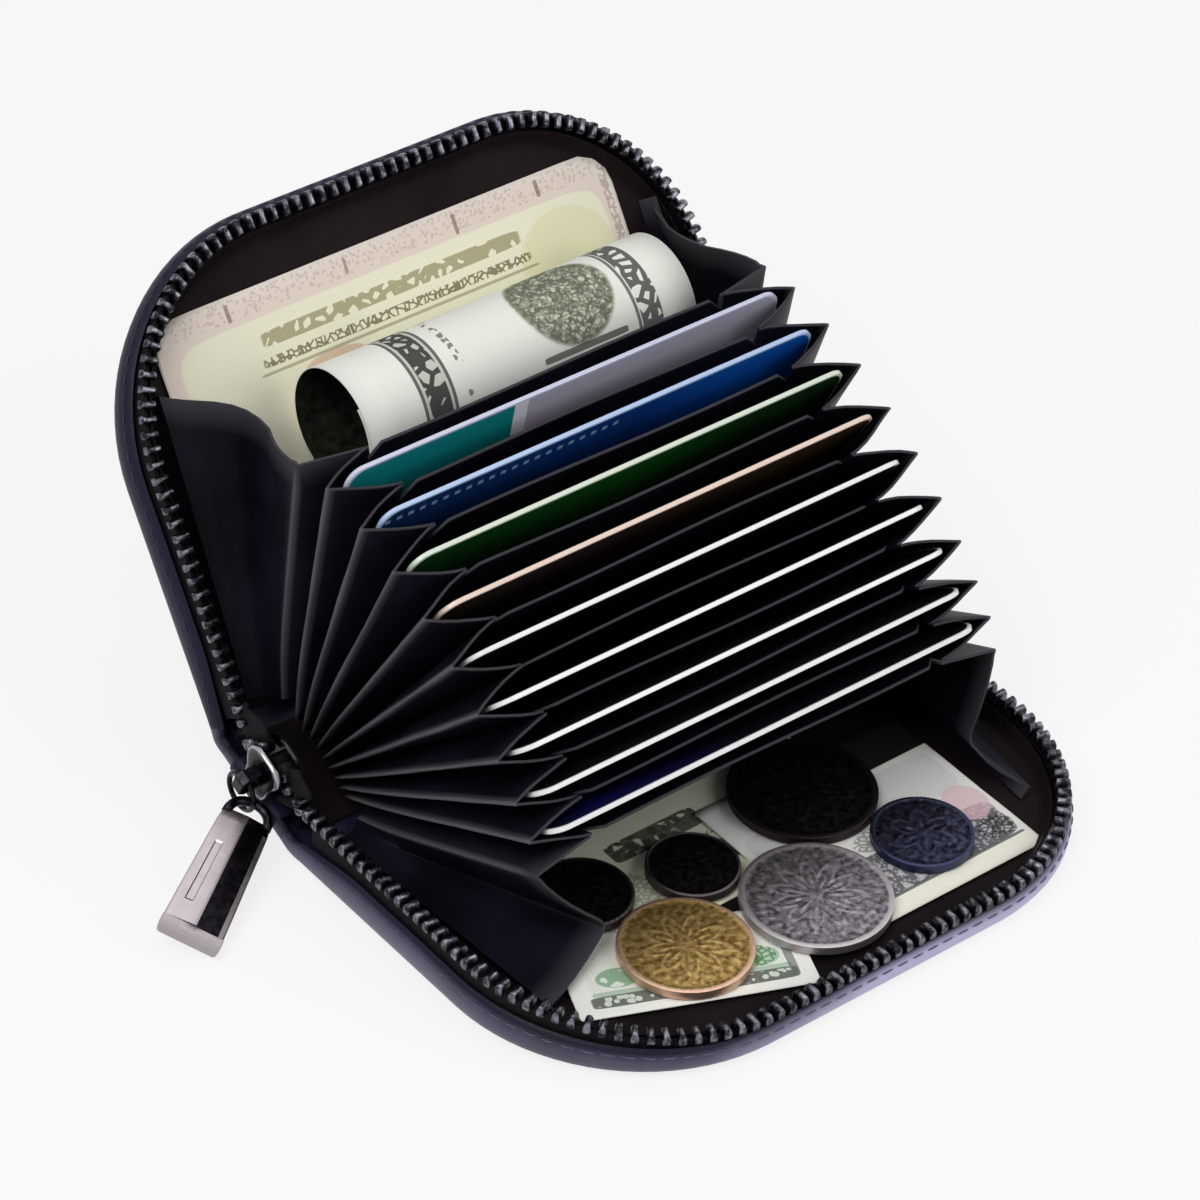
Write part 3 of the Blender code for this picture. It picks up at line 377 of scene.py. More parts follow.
stations = [EDGE_LENGTH * i / EDGE_STATIONS for i in range(EDGE_STATIONS + 1)]
# The crease sides and spine walls take the painted reflection at its least share, as at the front's left end
station_marks = painted_reflection_marks("front", -HALF_WIDTH)
for side in COVERS:
    leather = skin(f"{side}_outer_leather", [edge_rows(side, stations, EDGE_SECTION, rim_lift)], nappa,
                   [[painted_reflection_marks(side, edge_place(walked, 0)[0]) for walked in stations]])
    close_over(leather, len(EDGE_SECTION), (0, len(EDGE_SECTION) - 1), with_ends=True)
    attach(leather, f"{side}_cover")
    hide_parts(f"{side}_cover")

# Stitches: waxed polyester thread, three to the centimetre, half sunk in the side below the rim
STITCH_PITCH = 0.0031
STITCH_LENGTH = 0.0023
STITCH_RADIUS = 0.00016
STITCH_HEIGHT = 0.0027
STITCH_SUNK = 0.00012
# Shares of a stitch's length from its middle, and of its full thickness there
STITCH_SHAPE = ((-0.5, 0.25), (-0.42, 0.8), (-0.2, 1), (0.2, 1), (0.42, 0.8), (0.5, 0.25))
# The front's thread is painted lighter, to go with the painted reflection along the front's lower edge
THREAD_TONES = {"front": [(0.2, "#3b3853"), (0.8, "#6d6a8a")], "back": [(0.2, "#1d1a2e"), (0.8, "#3d3a57")]}
for side, (hinge, outwards, inwards) in COVERS.items():
    thread = finish(f"waxed_polyester_thread_{side}", "#1d1b2a", 0.6, {"Specular IOR Level": 0.3})
    place = node(thread, "ShaderNodeTexCoord").outputs["Object"]
    strands = node(thread, "ShaderNodeTexWave", {"Vector": place, "Scale": 1400.0},
                   bands_direction="DIAGONAL")
    strand_bump = node(thread, "ShaderNodeBump", {"Strength": 0.4, "Distance": 0.00005,
                                                  "Height": strands.outputs[1]})
    join_up(thread, strand_bump.outputs[0], "Normal")
    strand_tone = node(thread, "ShaderNodeValToRGB", {0: strands.outputs[1]}, THREAD_TONES[side])
    join_up(thread, strand_tone.outputs[0], "Base Color")
    rows_of_stitches = []
    for i in range(int((EDGE_LENGTH - STITCH_PITCH) / STITCH_PITCH)):
        middle = STITCH_PITCH * (i + 0.8)
        rings = []
        for share, thick in STITCH_SHAPE:
            x, out, away_x, away_out = edge_place(middle + STITCH_LENGTH * share, STITCH_SUNK)
            height = STITCH_HEIGHT + rim_lift(x, out, STITCH_HEIGHT)
            away = ACROSS * away_x + outwards * away_out
            centre = on_cover(side, x, height, out) - away * STITCH_SUNK * (2 - 2 * thick)
            rings.append([centre + (away * cos(turn) + inwards * sin(turn)) * STITCH_RADIUS * thick
                          for turn in (pi / 3 * k for k in range(6))])
        rows_of_stitches.append(rings)
    stitches = skin(f"{side}_edge_stitches", rows_of_stitches, thread, ring=True, lids=True)
    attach(stitches, f"{side}_cover")


# Spine: the same skin runs round behind the fan, creased where each cover folds, with its ends turned
# up like the covers' sides. Each crease is a narrow strip here, and a folded tab closes each end of the zip.
ALONG_SPINE = (BACK_HINGE - FRONT_HINGE).normalized()
OUT_OF_SPINE = Vector((0, -ALONG_SPINE.z, ALONG_SPINE.y))
SPINE_CHORD = (BACK_HINGE - FRONT_HINGE).length
SPINE_WAYS = {"front": ALONG_SPINE, "back": -ALONG_SPINE}
ENDS = {"left": -1, "right": 1}
SPINE_HALF_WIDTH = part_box("spine_panel")[1].x
SPINE_WALL_SHARE = 0.8
CREASE_REACH = 0.003
CREASE_SHARES = [k / 10 for k in range(11)]
SPINE_HALF_STEPS = 6


def on_spine(x, along, lift):
    """A point over the spine: x along it, so far from the front hinge to the back, and out from it."""
    return FRONT_HINGE + ACROSS * x + ALONG_SPINE * along + OUT_OF_SPINE * lift


panel_rows = []
for i in range(2 * SPINE_HALF_STEPS + 1):
    x = SPINE_HALF_WIDTH * (i - SPINE_HALF_STEPS) / SPINE_HALF_STEPS
    low, high = CREASE_REACH, SPINE_CHORD - CREASE_REACH
    panel_rows.append([on_spine(x, along, lift) for along, lift in
                       ((low, PLATE_BOTTOM), (SPINE_CHORD / 2, PLATE_BOTTOM), (high, PLATE_BOTTOM),
                        (high, PLATE_BOTTOM + LEATHER), (low, PLATE_BOTTOM + LEATHER))])
spine_leather = skin("spine_outer_leather", [panel_rows], nappa, ring=True, lids=True)
sharpened(spine_leather, 40)
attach(spine_leather, "spine")
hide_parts("spine_panel")


def round_fold(side, across, share, reach, height):
    """A point so far on the way round a cover's fold, from the cover to the spine."""
    hinge, outwards, inwards = COVERS[side]
    turn = smooth(share)
    cover_point = outwards * reach * (1 - 2 * share) + inwards * height
    spine_point = SPINE_WAYS[side] * reach * (2 * share - 1) + OUT_OF_SPINE * height
    return hinge + across + cover_point * (1 - turn) + spine_point * turn


def wall_height(height, turn):
    """Height of a point of the turned-up side, as it gets lower towards the spine."""
    return height if height < 0 else height * (1 - turn + SPINE_WALL_SHARE * turn)


for side, (hinge, outwards, inwards) in COVERS.items():
    faces = ((PLATE_BOTTOM, CREASE_SHARES), (PLATE_BOTTOM + LEATHER, CREASE_SHARES[::-1]))
    steps = [ACROSS * SPINE_HALF_WIDTH * (i - SPINE_HALF_STEPS) / SPINE_HALF_STEPS
             for i in range(2 * SPINE_HALF_STEPS + 1)]
    rows = [[round_fold(side, step, share, CREASE_REACH, height)
             for height, shares in faces for share in shares] for step in steps]
    strips = [skin(f"{side}_crease_leather", [rows], nappa, ring=True, lids=True)]
    for word, way in ENDS.items():
        rows = [[round_fold(side, ACROSS * way * (HALF_WIDTH - inset), share, COVER_ROOT,
                            wall_height(height, smooth(share)))
                 for inset, height, reflection_share in EDGE_SECTION] for share in CREASE_SHARES]
        strips.append(skin(f"{side}_crease_side_{word}", [rows], nappa, [[station_marks] * len(rows)],
                           ring=True, lids=True))
    for strip in strips:
        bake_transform(strip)
for word, way in ENDS.items():
    rows = []
    for k in range(7):
        along = COVER_ROOT + (SPINE_CHORD - 2 * COVER_ROOT) * k / 6
        rows.append([on_spine(way * (HALF_WIDTH - inset), along, wall_height(height, 1))
                     for inset, height, reflection_share in EDGE_SECTION])
    wall = skin(f"spine_side_{word}", [rows], nappa, [[station_marks] * len(rows)], ring=True, lids=True)
    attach(wall, "spine")

# The tabs: a strip of the same leather folded over the tape's end and glued down
TAB_REACH = 0.0062
TAB_THICKNESS = 0.0006
TAB_EDGE_DROP = 0.0002
TAB_SECTION = [(0.0066, 0.0004), (0.0056, 0.0014), (0.004, 0.0026), (0.0022, 0.0034), (0.0008, 0.0034),
               (-0.0002, 0.0026), (-0.0004, 0.0012), (-0.0002, 0.0002)]
for word, way in ENDS.items():
    rows = []
    for inset, height in TAB_SECTION:
        rows.append([on_spine(way * (HALF_WIDTH - inset), SPINE_CHORD / 2 + TAB_REACH * (s - 3) / 3,
                              height - TAB_EDGE_DROP * abs(s - 3) / 3) for s in range(7)])
    tab = skin(f"zip_end_fold_{word}", [rows], nappa)
    worked(tab, ("SOLIDIFY", {"thickness": TAB_THICKNESS, "offset": -1}), ("SUBSURF", {"levels": 2}))
    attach(tab, "spine")
    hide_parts(f"zip_end_tab_{word}")


# Zip: woven tape sewn inside the rim, with die-cast teeth clamped on its corded edge at an even pitch.
# The open rows lie down along the covers and stand up towards the slider, where they meet.
TAPE_INSET = 0.00175
TAPE_THICKNESS = 0.0006
TAPE_BOTTOM = -0.0009
TAPE_TOP = 0.0039
TAPE_SECTION = ((TAPE_INSET, TAPE_BOTTOM), (TAPE_INSET, TAPE_TOP), (TAPE_INSET + TAPE_THICKNESS, TAPE_TOP),
                (TAPE_INSET + TAPE_THICKNESS, TAPE_BOTTOM))
TEETH_INSET = 0.00174
TOOTH_PITCH = 0.00235
TOOTH_WIDTH = 0.00135
TOOTH_DEPTH = 0.0026
TOOTH_BOTTOM = 0.0038
TOOTH_HEIGHT = 0.0022
# Shares of a tooth's height, depth and width from its foot to its narrower rounded head
TOOTH_SHAPE = ((0, 0.8, 0.8), (0.25, 1, 1), (0.65, 1, 0.96), (1, 0.84, 0.5))
TOOTH_BEVEL = {"width": 0.00022, "segments": 2, "limit_method": "ANGLE", "angle_limit": radians(25)}
TEETH_ROOT = 0.001
TEETH_ROOT_RIGHT = 0.0135
WALK_STEP = 0.0001

# Black polyester tape: a herringbone of half-millimetre ribs, dull
tape_cloth = finish("black_polyester_herringbone_tape", "#0c0b0e", 0.8, {"Specular IOR Level": 0.2})
place = node(tape_cloth, "ShaderNodeTexCoord").outputs["Object"]
rib = node(tape_cloth, "ShaderNodeTexWave", {"Vector": place, "Scale": 1 / 0.0031, "Distortion": 0.6},
           bands_direction="DIAGONAL")
rib_bump = node(tape_cloth, "ShaderNodeBump", {"Strength": 0.5, "Distance": 0.0001, "Height": rib.outputs[1]})
join_up(tape_cloth, rib_bump.outputs[0], "Normal")

# Gunmetal: black nickel plating on cast brass, worn bright and dull in random patches
gunmetal = finish("gunmetal_plated_brass_teeth", "#6d6d75", 0.3, {"Metallic": 1.0})
place = node(gunmetal, "ShaderNodeTexCoord").outputs["Object"]
wear = node(gunmetal, "ShaderNodeTexNoise", {"Vector": place, "Scale": 900.0, "Detail": 2.0})
wear_and_highlight = node(gunmetal, "ShaderNodeValToRGB", {0: wear.outputs[0]}, [(0.4, "#25252b"), (0.66, "#7e7e88")])
join_up(gunmetal, wear_and_highlight.outputs[0], "Base Color")
dull = node(gunmetal, "ShaderNodeMapRange", {"Value": wear.outputs[0], "To Min": 0.42, "To Max": 0.22})
join_up(gunmetal, dull.outputs[0], "Roughness")


def row_places(first, last, pitch, inset):
    """Distances round the edge whose places at this inset lie one pitch apart."""
    places = [first]
    x0, out0 = edge_place(first, inset)[:2]
    walked, gone = first, 0.0
    while walked < last:
        walked += WALK_STEP
        x1, out1 = edge_place(walked, inset)[:2]
        gone += hypot(x1 - x0, out1 - out0)
        x0, out0 = x1, out1
        if gone >= pitch:
            places.append(walked)
            gone -= pitch
    return places


def tooth(centre, along, away, upwards):
    """One tooth: a clamped block with a narrower head, standing on the tape's edge."""
    rings = []
    for height, depth, width in TOOTH_SHAPE:
        half_depth = away * TOOTH_DEPTH * depth / 2
        half_width = along * TOOTH_WIDTH * width / 2
        middle = centre + upwards * TOOTH_HEIGHT * height
        rings.append([middle + half_depth + half_width, middle - half_depth + half_width,
                      middle - half_depth - half_width, middle + half_depth - half_width])
    return rings


def teeth_piece(name, teeth):
    """A row of teeth as one piece, their edges rounded."""
    piece = skin(name, teeth, gunmetal, ring=True, lids=True)
    worked(piece, ("BEVEL", TOOTH_BEVEL))
    piece.data.shade_smooth()
    return piece


def zip_lift(x, out, height):
    """How far the zip is raised at rest over its lying place."""
    return ZIP_RISE * raised(x, out)


def stand_up(piece):
    """Bakes the piece's place into its mesh."""
    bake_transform(piece)


for side, (hinge, outwards, inwards) in COVERS.items():
    first = TEETH_ROOT_RIGHT - COVER_ROOT
    last = EDGE_LENGTH + COVER_ROOT - TEETH_ROOT
    standing = []
    for walked in row_places(first, last, TOOTH_PITCH, TEETH_INSET):
        x, out, away_x, away_out = edge_place(walked, TEETH_INSET)
        away = ACROSS * away_x + outwards * away_out
        height = TOOTH_BOTTOM + zip_lift(x, out, TOOTH_BOTTOM)
        standing.append(tooth(on_cover(side, x, height, out), away.cross(inwards), away, inwards))
    teeth = teeth_piece(f"{side}_zip_teeth_row", standing)
    stand_up(teeth)
    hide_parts(f"{side}_zip_teeth")
    walks = [(last - COVER_ROOT) * i / (EDGE_STATIONS * 2) for i in range(EDGE_STATIONS * 2 + 1)]
    rows = edge_rows(side, walks, TAPE_SECTION, zip_lift)
    tape = skin(f"{side}_zip_woven_tape", [rows], tape_cloth, ring=True, lids=True)
    sharpened(tape, 50)
    stand_up(tape)
    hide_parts(f"{side}_zip_tape")

# Each row's last few teeth turn off the cover, past the fold and into the slider's nose
RUN_FROM = 0.0005
RUN_TEETH = 4
NOSE_LIFT = 0.0126
NOSE_HALF_GAP = 0.0027
RUN_BEND_LIFT, RUN_BEND_ALONG = 0.0012, 0.0022
RUN_TAPE_LONG, RUN_TAPE_SHORT = 0.0065, 0.003
RUN_TAPE_ABOVE = 0.0002
row_x = -(HALF_WIDTH - TEETH_INSET)
half = ACROSS * TAPE_THICKNESS / 2
for side, (hinge, outwards, inwards) in COVERS.items():
    spine_way = SPINE_WAYS[side]
    to_nose = SPINE_CHORD / 2 - NOSE_HALF_GAP
    raised_height = TOOTH_BOTTOM + ZIP_RISE
    first = on_cover(side, row_x, raised_height, RUN_FROM)
    bend = hinge + ACROSS * row_x + (inwards + OUT_OF_SPINE).normalized() * (raised_height + RUN_BEND_LIFT)
    bend += spine_way * RUN_BEND_ALONG
    nose = hinge + ACROSS * row_x + spine_way * to_nose + OUT_OF_SPINE * NOSE_LIFT
    standing, rows = [], []
    for i in range(RUN_TEETH * 2 + 1):
        share = i / (RUN_TEETH * 2)
        spot = first * (1 - share) ** 2 + bend * 2 * share * (1 - share) + nose * share ** 2
        tangent = ((bend - first) * (1 - share) + (nose - bend) * share).normalized()
        upwards = (inwards * (1 - share) + spine_way * share)
        upwards = (upwards - tangent * upwards.dot(tangent)).normalized()
        if i % 2:
            standing.append(tooth(spot, tangent, ACROSS * -1, upwards))
        edge = spot + upwards * RUN_TAPE_ABOVE
        foot = spot - upwards * (RUN_TAPE_LONG + (RUN_TAPE_SHORT - RUN_TAPE_LONG) * share)
        rows.append([edge - half, edge + half, foot + half, foot - half])
    run_teeth = teeth_piece(f"{side}_zip_run_teeth", standing)
    run_tape = skin(f"{side}_zip_run_tape", [rows], tape_cloth, ring=True, lids=True)
    for piece, slot in ((run_teeth, "zip_teeth_nickel"), (run_tape, "black_lining")):
        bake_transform(piece)


# Linings: thin black taffeta over the stiffener boards, turned up the walls to the zip tape.
LINING_THICKNESS = 0.0004
LINING_SECTION = [(0.0085, 0.001), (0.0062, 0.001), (0.0052, 0.0013), (0.0044, 0.002), (0.0039, 0.003),
                  (0.0036, 0.0037)]
LINING_LEVEL = 0.001
LINING_FOLLOW_SHARE = 0.8


def thickened(piece, thickness):
    """Gives a sheet its thickness, half of it on either side."""
    worked(piece, ("SOLIDIFY", {"thickness": thickness, "offset": 0}))


def repainted(name, material):
    """Gives one of the solids, seen as it is, its material."""
    materials = frame["nodes"][name].data.materials
    materials.clear()
    materials.append(material)


taffeta = finish("black_acetate_taffeta", "#0e0b0e", 0.6, {"Specular IOR Level": 0.06})
place = node(taffeta, "ShaderNodeTexCoord").outputs["Object"]
weave = node(taffeta, "ShaderNodeTexVoronoi", {"Vector": place, "Scale": 1 / 0.0005}, distance="CHEBYCHEV")
weave_bump = node(taffeta, "ShaderNodeBump", {"Strength": 0.25, "Distance": 0.00005,
                                              "Height": weave.outputs[0]})
join_up(taffeta, weave_bump.outputs[0], "Normal")
shade = node(taffeta, "ShaderNodeTexNoise", {"Vector": place, "Scale": 45.0, "Detail": 3.0})
shades = node(taffeta, "ShaderNodeValToRGB", {0: shade.outputs[0]}, [(0.35, "#0d090b"), (0.7, "#22191b")])
join_up(taffeta, shades.outputs[0], "Base Color")


def lining_lift(x, out, height):
    """The lining's edge follows the zip part of the way."""
    above = max(height - LINING_LEVEL, 0) / (TAPE_TOP - LINING_LEVEL)
    return ZIP_RISE * LINING_FOLLOW_SHARE * raised(x, out) * above


for side in COVERS:
    lining = skin(f"{side}_taffeta_lining", [edge_rows(side, stations, LINING_SECTION, lining_lift)], taffeta)
    close_over(lining, len(LINING_SECTION), (0,))
    thickened(lining, LINING_THICKNESS)
    sharpened(lining, 50)
    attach(lining, f"{side}_cover")
    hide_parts(f"{side}_lining", f"{side}_board")

repainted("spine_lining", taffeta)


# Fan: ten dividers of thin split sheepskin on card, cut straight and painted grey along their edges.
# They are glued to one another's roots on the spine and lean apart as the wallet opens.
DIVIDER_HALF_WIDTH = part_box("divider_01")[1].x
DIVIDER_THICKNESS = 0.00045
DIVIDER_CORNER = 0.003
DIVIDER_COUNT = 10
POCKET_COUNT = 9
EDGE_PAINT_WIDTH = 0.0004
EDGE_PAINT_SHARE = 0.45
DIVIDER_WAVE = 0.00022
DIVIDER_COLUMNS = 24
DIVIDER_STEPS = (0.0004, 0.01, 0.022, 0.034, 0.044, 0.05)

# Sheepskin: fine close grain, nearly matt; marks carry the grey edge paint and the painted grey crease
# highlights
sheepskin = finish("black_split_sheepskin", "#0f0d12", 0.45, {"Specular IOR Level": 0.06})
place = node(sheepskin, "ShaderNodeTexCoord").outputs["Object"]
marks = node(sheepskin, "ShaderNodeAttribute", attribute_name="marks").outputs["Vector"]
paint_and_highlight_mark = node(sheepskin, "ShaderNodeSeparateXYZ", {0: marks}).outputs[2]
cloud = node(sheepskin, "ShaderNodeTexNoise", {"Vector": place, "Scale": 60.0, "Detail": 4.0})
clouded = node(sheepskin, "ShaderNodeValToRGB", {0: cloud.outputs[0]}, [(0.35, "#0a0910"), (0.7, "#1a1724")])
edge_paint_and_highlight = node(sheepskin, "ShaderNodeMix", {0: paint_and_highlight_mark, 6: clouded.outputs[0], 7: "#5b595f"},
                 data_type="RGBA")
join_up(sheepskin, edge_paint_and_highlight.outputs[2], "Base Color")
grain = node(sheepskin, "ShaderNodeTexNoise", {"Vector": place, "Scale": 2600.0, "Detail": 2.0})
grain_bump = node(sheepskin, "ShaderNodeBump", {"Strength": 0.3, "Distance": 0.00006,
                                                "Height": grain.outputs[0]})
join_up(sheepskin, grain_bump.outputs[0], "Normal")


def leaf_axes(node_name, joint_name):
    """A fan leaf's hinge, the way it stretches out, and the way across it towards the back cover."""
    hinge = Vector(joints[joint_name]["pos_m"])
    corners = [vertex.co for vertex in frame["nodes"][node_name].data.vertices]
    outwards = sum(corners, Vector()) / len(corners) - hinge
    outwards.x = 0
    outwards.normalize()
    return hinge, outwards, Vector((0, outwards.z, -outwards.y))


def spans(name, origin, axes):
    """How far one of the solids reaches from an origin, down and up each axis."""
    corners = [vertex.co - origin for vertex in frame["nodes"][name].data.vertices]
    return [(min(c.dot(axis) for c in corners), max(c.dot(axis) for c in corners)) for axis in axes]


divider_axes = [leaf_axes(f"divider_{k + 1:02d}", f"divider_{k + 1:02d}_lean") for k in range(DIVIDER_COUNT)]
pocket_axes = [leaf_axes(f"card_{k + 1}", f"pocket_{k + 1}_lean") for k in range(POCKET_COUNT)]
DIVIDER_HEIGHT = spans("divider_01", divider_axes[0][0], divider_axes[0][1:2])[0][1]


def leaf_point(axes, x, across, out):
    """A point by a fan leaf: x along its hinge, across towards the back cover, and out from the hinge."""
    hinge, outwards, normal = axes
    return hinge + ACROSS * x + normal * across + outwards * out


def corner_drop(from_side, corner):
    """How far a rounded corner falls back, so far in from the sheet's side."""
    if from_side >= corner:
        return 0.0
    return corner - sqrt(corner ** 2 - (corner - from_side) ** 2)


for k, axes in enumerate(divider_axes):
    rows, marks = [], []
    for i in range(DIVIDER_COLUMNS + 1):
        share = -1 + 2 * i / DIVIDER_COLUMNS
        x = DIVIDER_HALF_WIDTH * share
        top = DIVIDER_HEIGHT - corner_drop(DIVIDER_HALF_WIDTH - abs(x), DIVIDER_CORNER)
        row, row_marks = [], []
        for out in (*DIVIDER_STEPS, top - EDGE_PAINT_WIDTH, top):
            out = min(out, top)
            wave = DIVIDER_WAVE * (out / DIVIDER_HEIGHT) ** 2 * sin(3.1 * share + 1.7 * k)
            row.append(leaf_point(axes, x, wave, out))
            row_marks.append((x, out, EDGE_PAINT_SHARE if out >= top - EDGE_PAINT_WIDTH / 4 else 0.0))
        rows.append(row)
        marks.append(row_marks)
    divider = skin(f"divider_leather_{k + 1:02d}", [rows], sheepskin, [marks])
    thickened(divider, DIVIDER_THICKNESS)
    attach(divider, f"divider_{k + 1:02d}")
    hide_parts(f"divider_{k + 1:02d}")


# Pleats: each card pocket's side walls are one fold of the same sheepskin between two dividers, pressed
# to a sharp outward crease, along which a grey highlight is painted.
PLEAT_VALLEY = DIVIDER_HALF_WIDTH - 0.0002
PLEAT_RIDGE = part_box("pocket_gusset_1")[1].x
PLEAT_START = 0.003
PLEAT_TOP = DIVIDER_HEIGHT + 0.0005
PLEAT_THICKNESS = 0.0004
PLEAT_ROOT_TUCK = 0.0016
PLEAT_TUCK_HEIGHT = 0.022
PLEAT_SPREAD, PLEAT_BOW, PLEAT_WOBBLE = 0.0002, 0.0004, 0.00025
PLEAT_ROWS = 16
# Shares of the way from the divider to the crease, close together at the crease
PLEAT_SHARES = (0, 0.15, 0.35, 0.55, 0.75, 0.88, 0.955, 0.985, 1)
# Painted grey highlight along the crease: where it starts, and how far it takes to come full
CREASE_HIGHLIGHT_FROM, CREASE_HIGHLIGHT_OVER = 0.93, 0.055


def half_gap(pocket, out):
    """Half the space between a pocket's two dividers, so far from its root."""
    hinge, outwards, normal = pocket_axes[pocket]
    here = hinge + outwards * out
    return min(abs((divider_hinge - here).dot(divider_normal) / normal.dot(divider_normal))
               for divider_hinge, divider_out, divider_normal in divider_axes[pocket:pocket + 2])


def ridge_x(out):
    """How far from the middle the crease stands: it is tucked in towards the root."""
    return PLEAT_RIDGE - PLEAT_ROOT_TUCK * max(1 - out / PLEAT_TUCK_HEIGHT, 0) ** 2


def pleat_half(pocket, side, phase):
    """One side's fold: from one divider out to the crease and back to the other divider."""
    rows, marks = [], []
    turns = [(share, 1) for share in PLEAT_SHARES] + [(share, -1) for share in PLEAT_SHARES[-2::-1]]
    for i in range(PLEAT_ROWS + 1):
        share = i / PLEAT_ROWS
        out = PLEAT_START + (PLEAT_TOP - PLEAT_START) * share
        if i == PLEAT_ROWS - 1:
            out = PLEAT_TOP - EDGE_PAINT_WIDTH
        wide = half_gap(pocket, min(out, DIVIDER_HEIGHT)) - PLEAT_THICKNESS / 2
        row, row_marks = [], []
        for part, way in turns:
            x = PLEAT_VALLEY + (ridge_x(out) - PLEAT_VALLEY) * part
            across = way * (wide * (1 - part ** 1.35) + PLEAT_SPREAD * (1 - part))
            bow = PLEAT_BOW * sin(pi * part) * sin(pi * share) * way
            wobble = PLEAT_WOBBLE * share * noise.noise(Vector((out * 90, part * 2 + way, phase)))
            row.append(leaf_point(pocket_axes[pocket], side * x, across + bow + wobble, out))
            # Painted grey highlight at the crease; the top row takes the grey edge paint
            at_crease = max((part - CREASE_HIGHLIGHT_FROM) / CREASE_HIGHLIGHT_OVER, 0)
            row_marks.append((x, out, min(max(at_crease, EDGE_PAINT_SHARE if i == PLEAT_ROWS else 0.0), 1.0)))
        rows.append(row)
        marks.append(row_marks)
    return rows, marks


for pocket in range(POCKET_COUNT):
    halves, marks = zip(pleat_half(pocket, -1, 2.3 * pocket), pleat_half(pocket, 1, 2.3 * pocket + 40))
    pleat = skin(f"pocket_pleats_{pocket + 1}", halves, sheepskin, marks)
    thickened(pleat, PLEAT_THICKNESS)
    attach(pleat, f"pocket_{pocket + 1}")
    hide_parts(f"pocket_gusset_{pocket + 1}")
    hinge, outwards, normal = pocket_axes[pocket]
    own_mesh(pleat)


# Compartment gussets: the last dividers are joined to the covers by wider walls of the same sheepskin.
# They bulge outwards in one crease, tuck inwards in another, and are sewn to the lining's edge.
GUSSET_THICKNESS = 0.00045
GUSSET_START = 0.005
GUSSET_TOP = DIVIDER_HEIGHT - 0.0005
GUSSET_ROWS = 10
LEAF_EDGE_X = HALF_WIDTH - 0.0065
LEAF_EDGE_HEIGHT = 0.004
FOLD_ROOT_SHARE = 0.958
RIDGE_ACROSS, VALLEY_ACROSS = 0.0026, 0.0006
SEAM_X, SEAM_HEIGHT = 0.0016, 0.0004
BULGE_SHARE = 0.035
HOLLOW = 0.0012
# The line to which a gusset folds flat, above each hinge
GUSSET_ROOTS = ((LEAF_EDGE_X * FOLD_ROOT_SHARE, GUSSET_START, LEAF_EDGE_HEIGHT),
                (LEAF_EDGE_X, GUSSET_START, LEAF_EDGE_HEIGHT))
# For each compartment: divider, way to its cover, how much of it is kept when closed, how softly it
# folds, and for each side the tops of its inward fold and of its sewn edge: x, distance out, height
COMPARTMENTS = {"front": (divider_axes[-1], -1, 0.1, 0.12,
                          {"left": ((0.0315, 0.0465, 0.0062), (0.0482, 0.0535, 0.004)),
                           "right": ((0.0435, 0.0455, 0.0052), (0.0462, 0.0575, 0.0032))}),
                "back": (divider_axes[0], 1, 0.1, 0.4,
                         {"left": ((0.0385, 0.049, 0.0128), (0.0485, 0.0544, 0.0045)),
                          "right": ((0.0485, 0.048, 0.008), (0.0511, 0.054, 0.004))})}


def gusset_wall(side, word):
    """One side wall of a large compartment, from its divider round two folds to the lining."""
    axes, turn, keep, softness, tops = COMPARTMENTS[side]
    way = ENDS[word]
    hinge, outwards, inwards = COVERS[side]
    rows, marks = [], []
    for i in range(GUSSET_ROWS + 1):
        share = i / GUSSET_ROWS
        out = GUSSET_START + (GUSSET_TOP - GUSSET_START) * share
        places = [[low * (1 - share) + high * share for low, high in zip(root, top)]
                  for root, top in zip(GUSSET_ROOTS, tops[word])]
        fold, edge = [on_cover(side, way * x, height, reach) for x, reach, height in places]
        valley = leaf_point(axes, way * PLEAT_VALLEY, turn * VALLEY_ACROSS, out)
        ridge = leaf_point(axes, way * ridge_x(out), turn * RIDGE_ACROSS, out)
        to_lining = LINING_LEVEL + SEAM_HEIGHT - (edge - hinge).dot(inwards)
        bulge = ACROSS * way * (fold - ridge).length * BULGE_SHARE * share
        hollow = inwards * -HOLLOW * share
        row = [valley, valley.lerp(ridge, 0.5), valley.lerp(ridge, 0.9), valley.lerp(ridge, 0.985), ridge,
               ridge.lerp(fold, 0.015), ridge.lerp(fold, 0.06)]
        row += [ridge.lerp(fold, part * (1 - softness)) + bulge * sin(pi * part)
                for part in (0.2, 0.4, 0.6, 0.8)]
        near, far = ridge.lerp(fold, 1 - softness), fold.lerp(edge, softness)
        row += [near * (1 - t) ** 2 + fold * 2 * t * (1 - t) + far * t ** 2 for t in (0, 0.25, 0.5, 0.75, 1)]
        row += [far.lerp(edge, part) + hollow * sin(pi * part) for part in (0.25, 0.5, 0.75)]
        row += [edge, edge - ACROSS * way * SEAM_X + inwards * to_lining]
        # Painted grey highlight along the outward crease, full at the ridge
        wear_and_highlight = (0, 0, 0.1, 0.8, 1, 0.8, 0.1) + (0,) * (len(row) - 7)
        rows.append(row)
        marks.append([(0, out, EDGE_PAINT_SHARE if i == GUSSET_ROWS else mark) for mark in wear_and_highlight])
    return rows, marks


for side, (hinge, outwards, inwards) in COVERS.items():
    walls, marks = zip(*(gusset_wall(side, word) for word in ENDS))
    gusset = skin(f"{side}_compartment_gusset", walls, sheepskin, marks)
    thickened(gusset, GUSSET_THICKNESS)
    sharpened(gusset, 40)
    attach(gusset, f"{side}_cover")
    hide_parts(f"{side}_gusset")
    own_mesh(gusset)


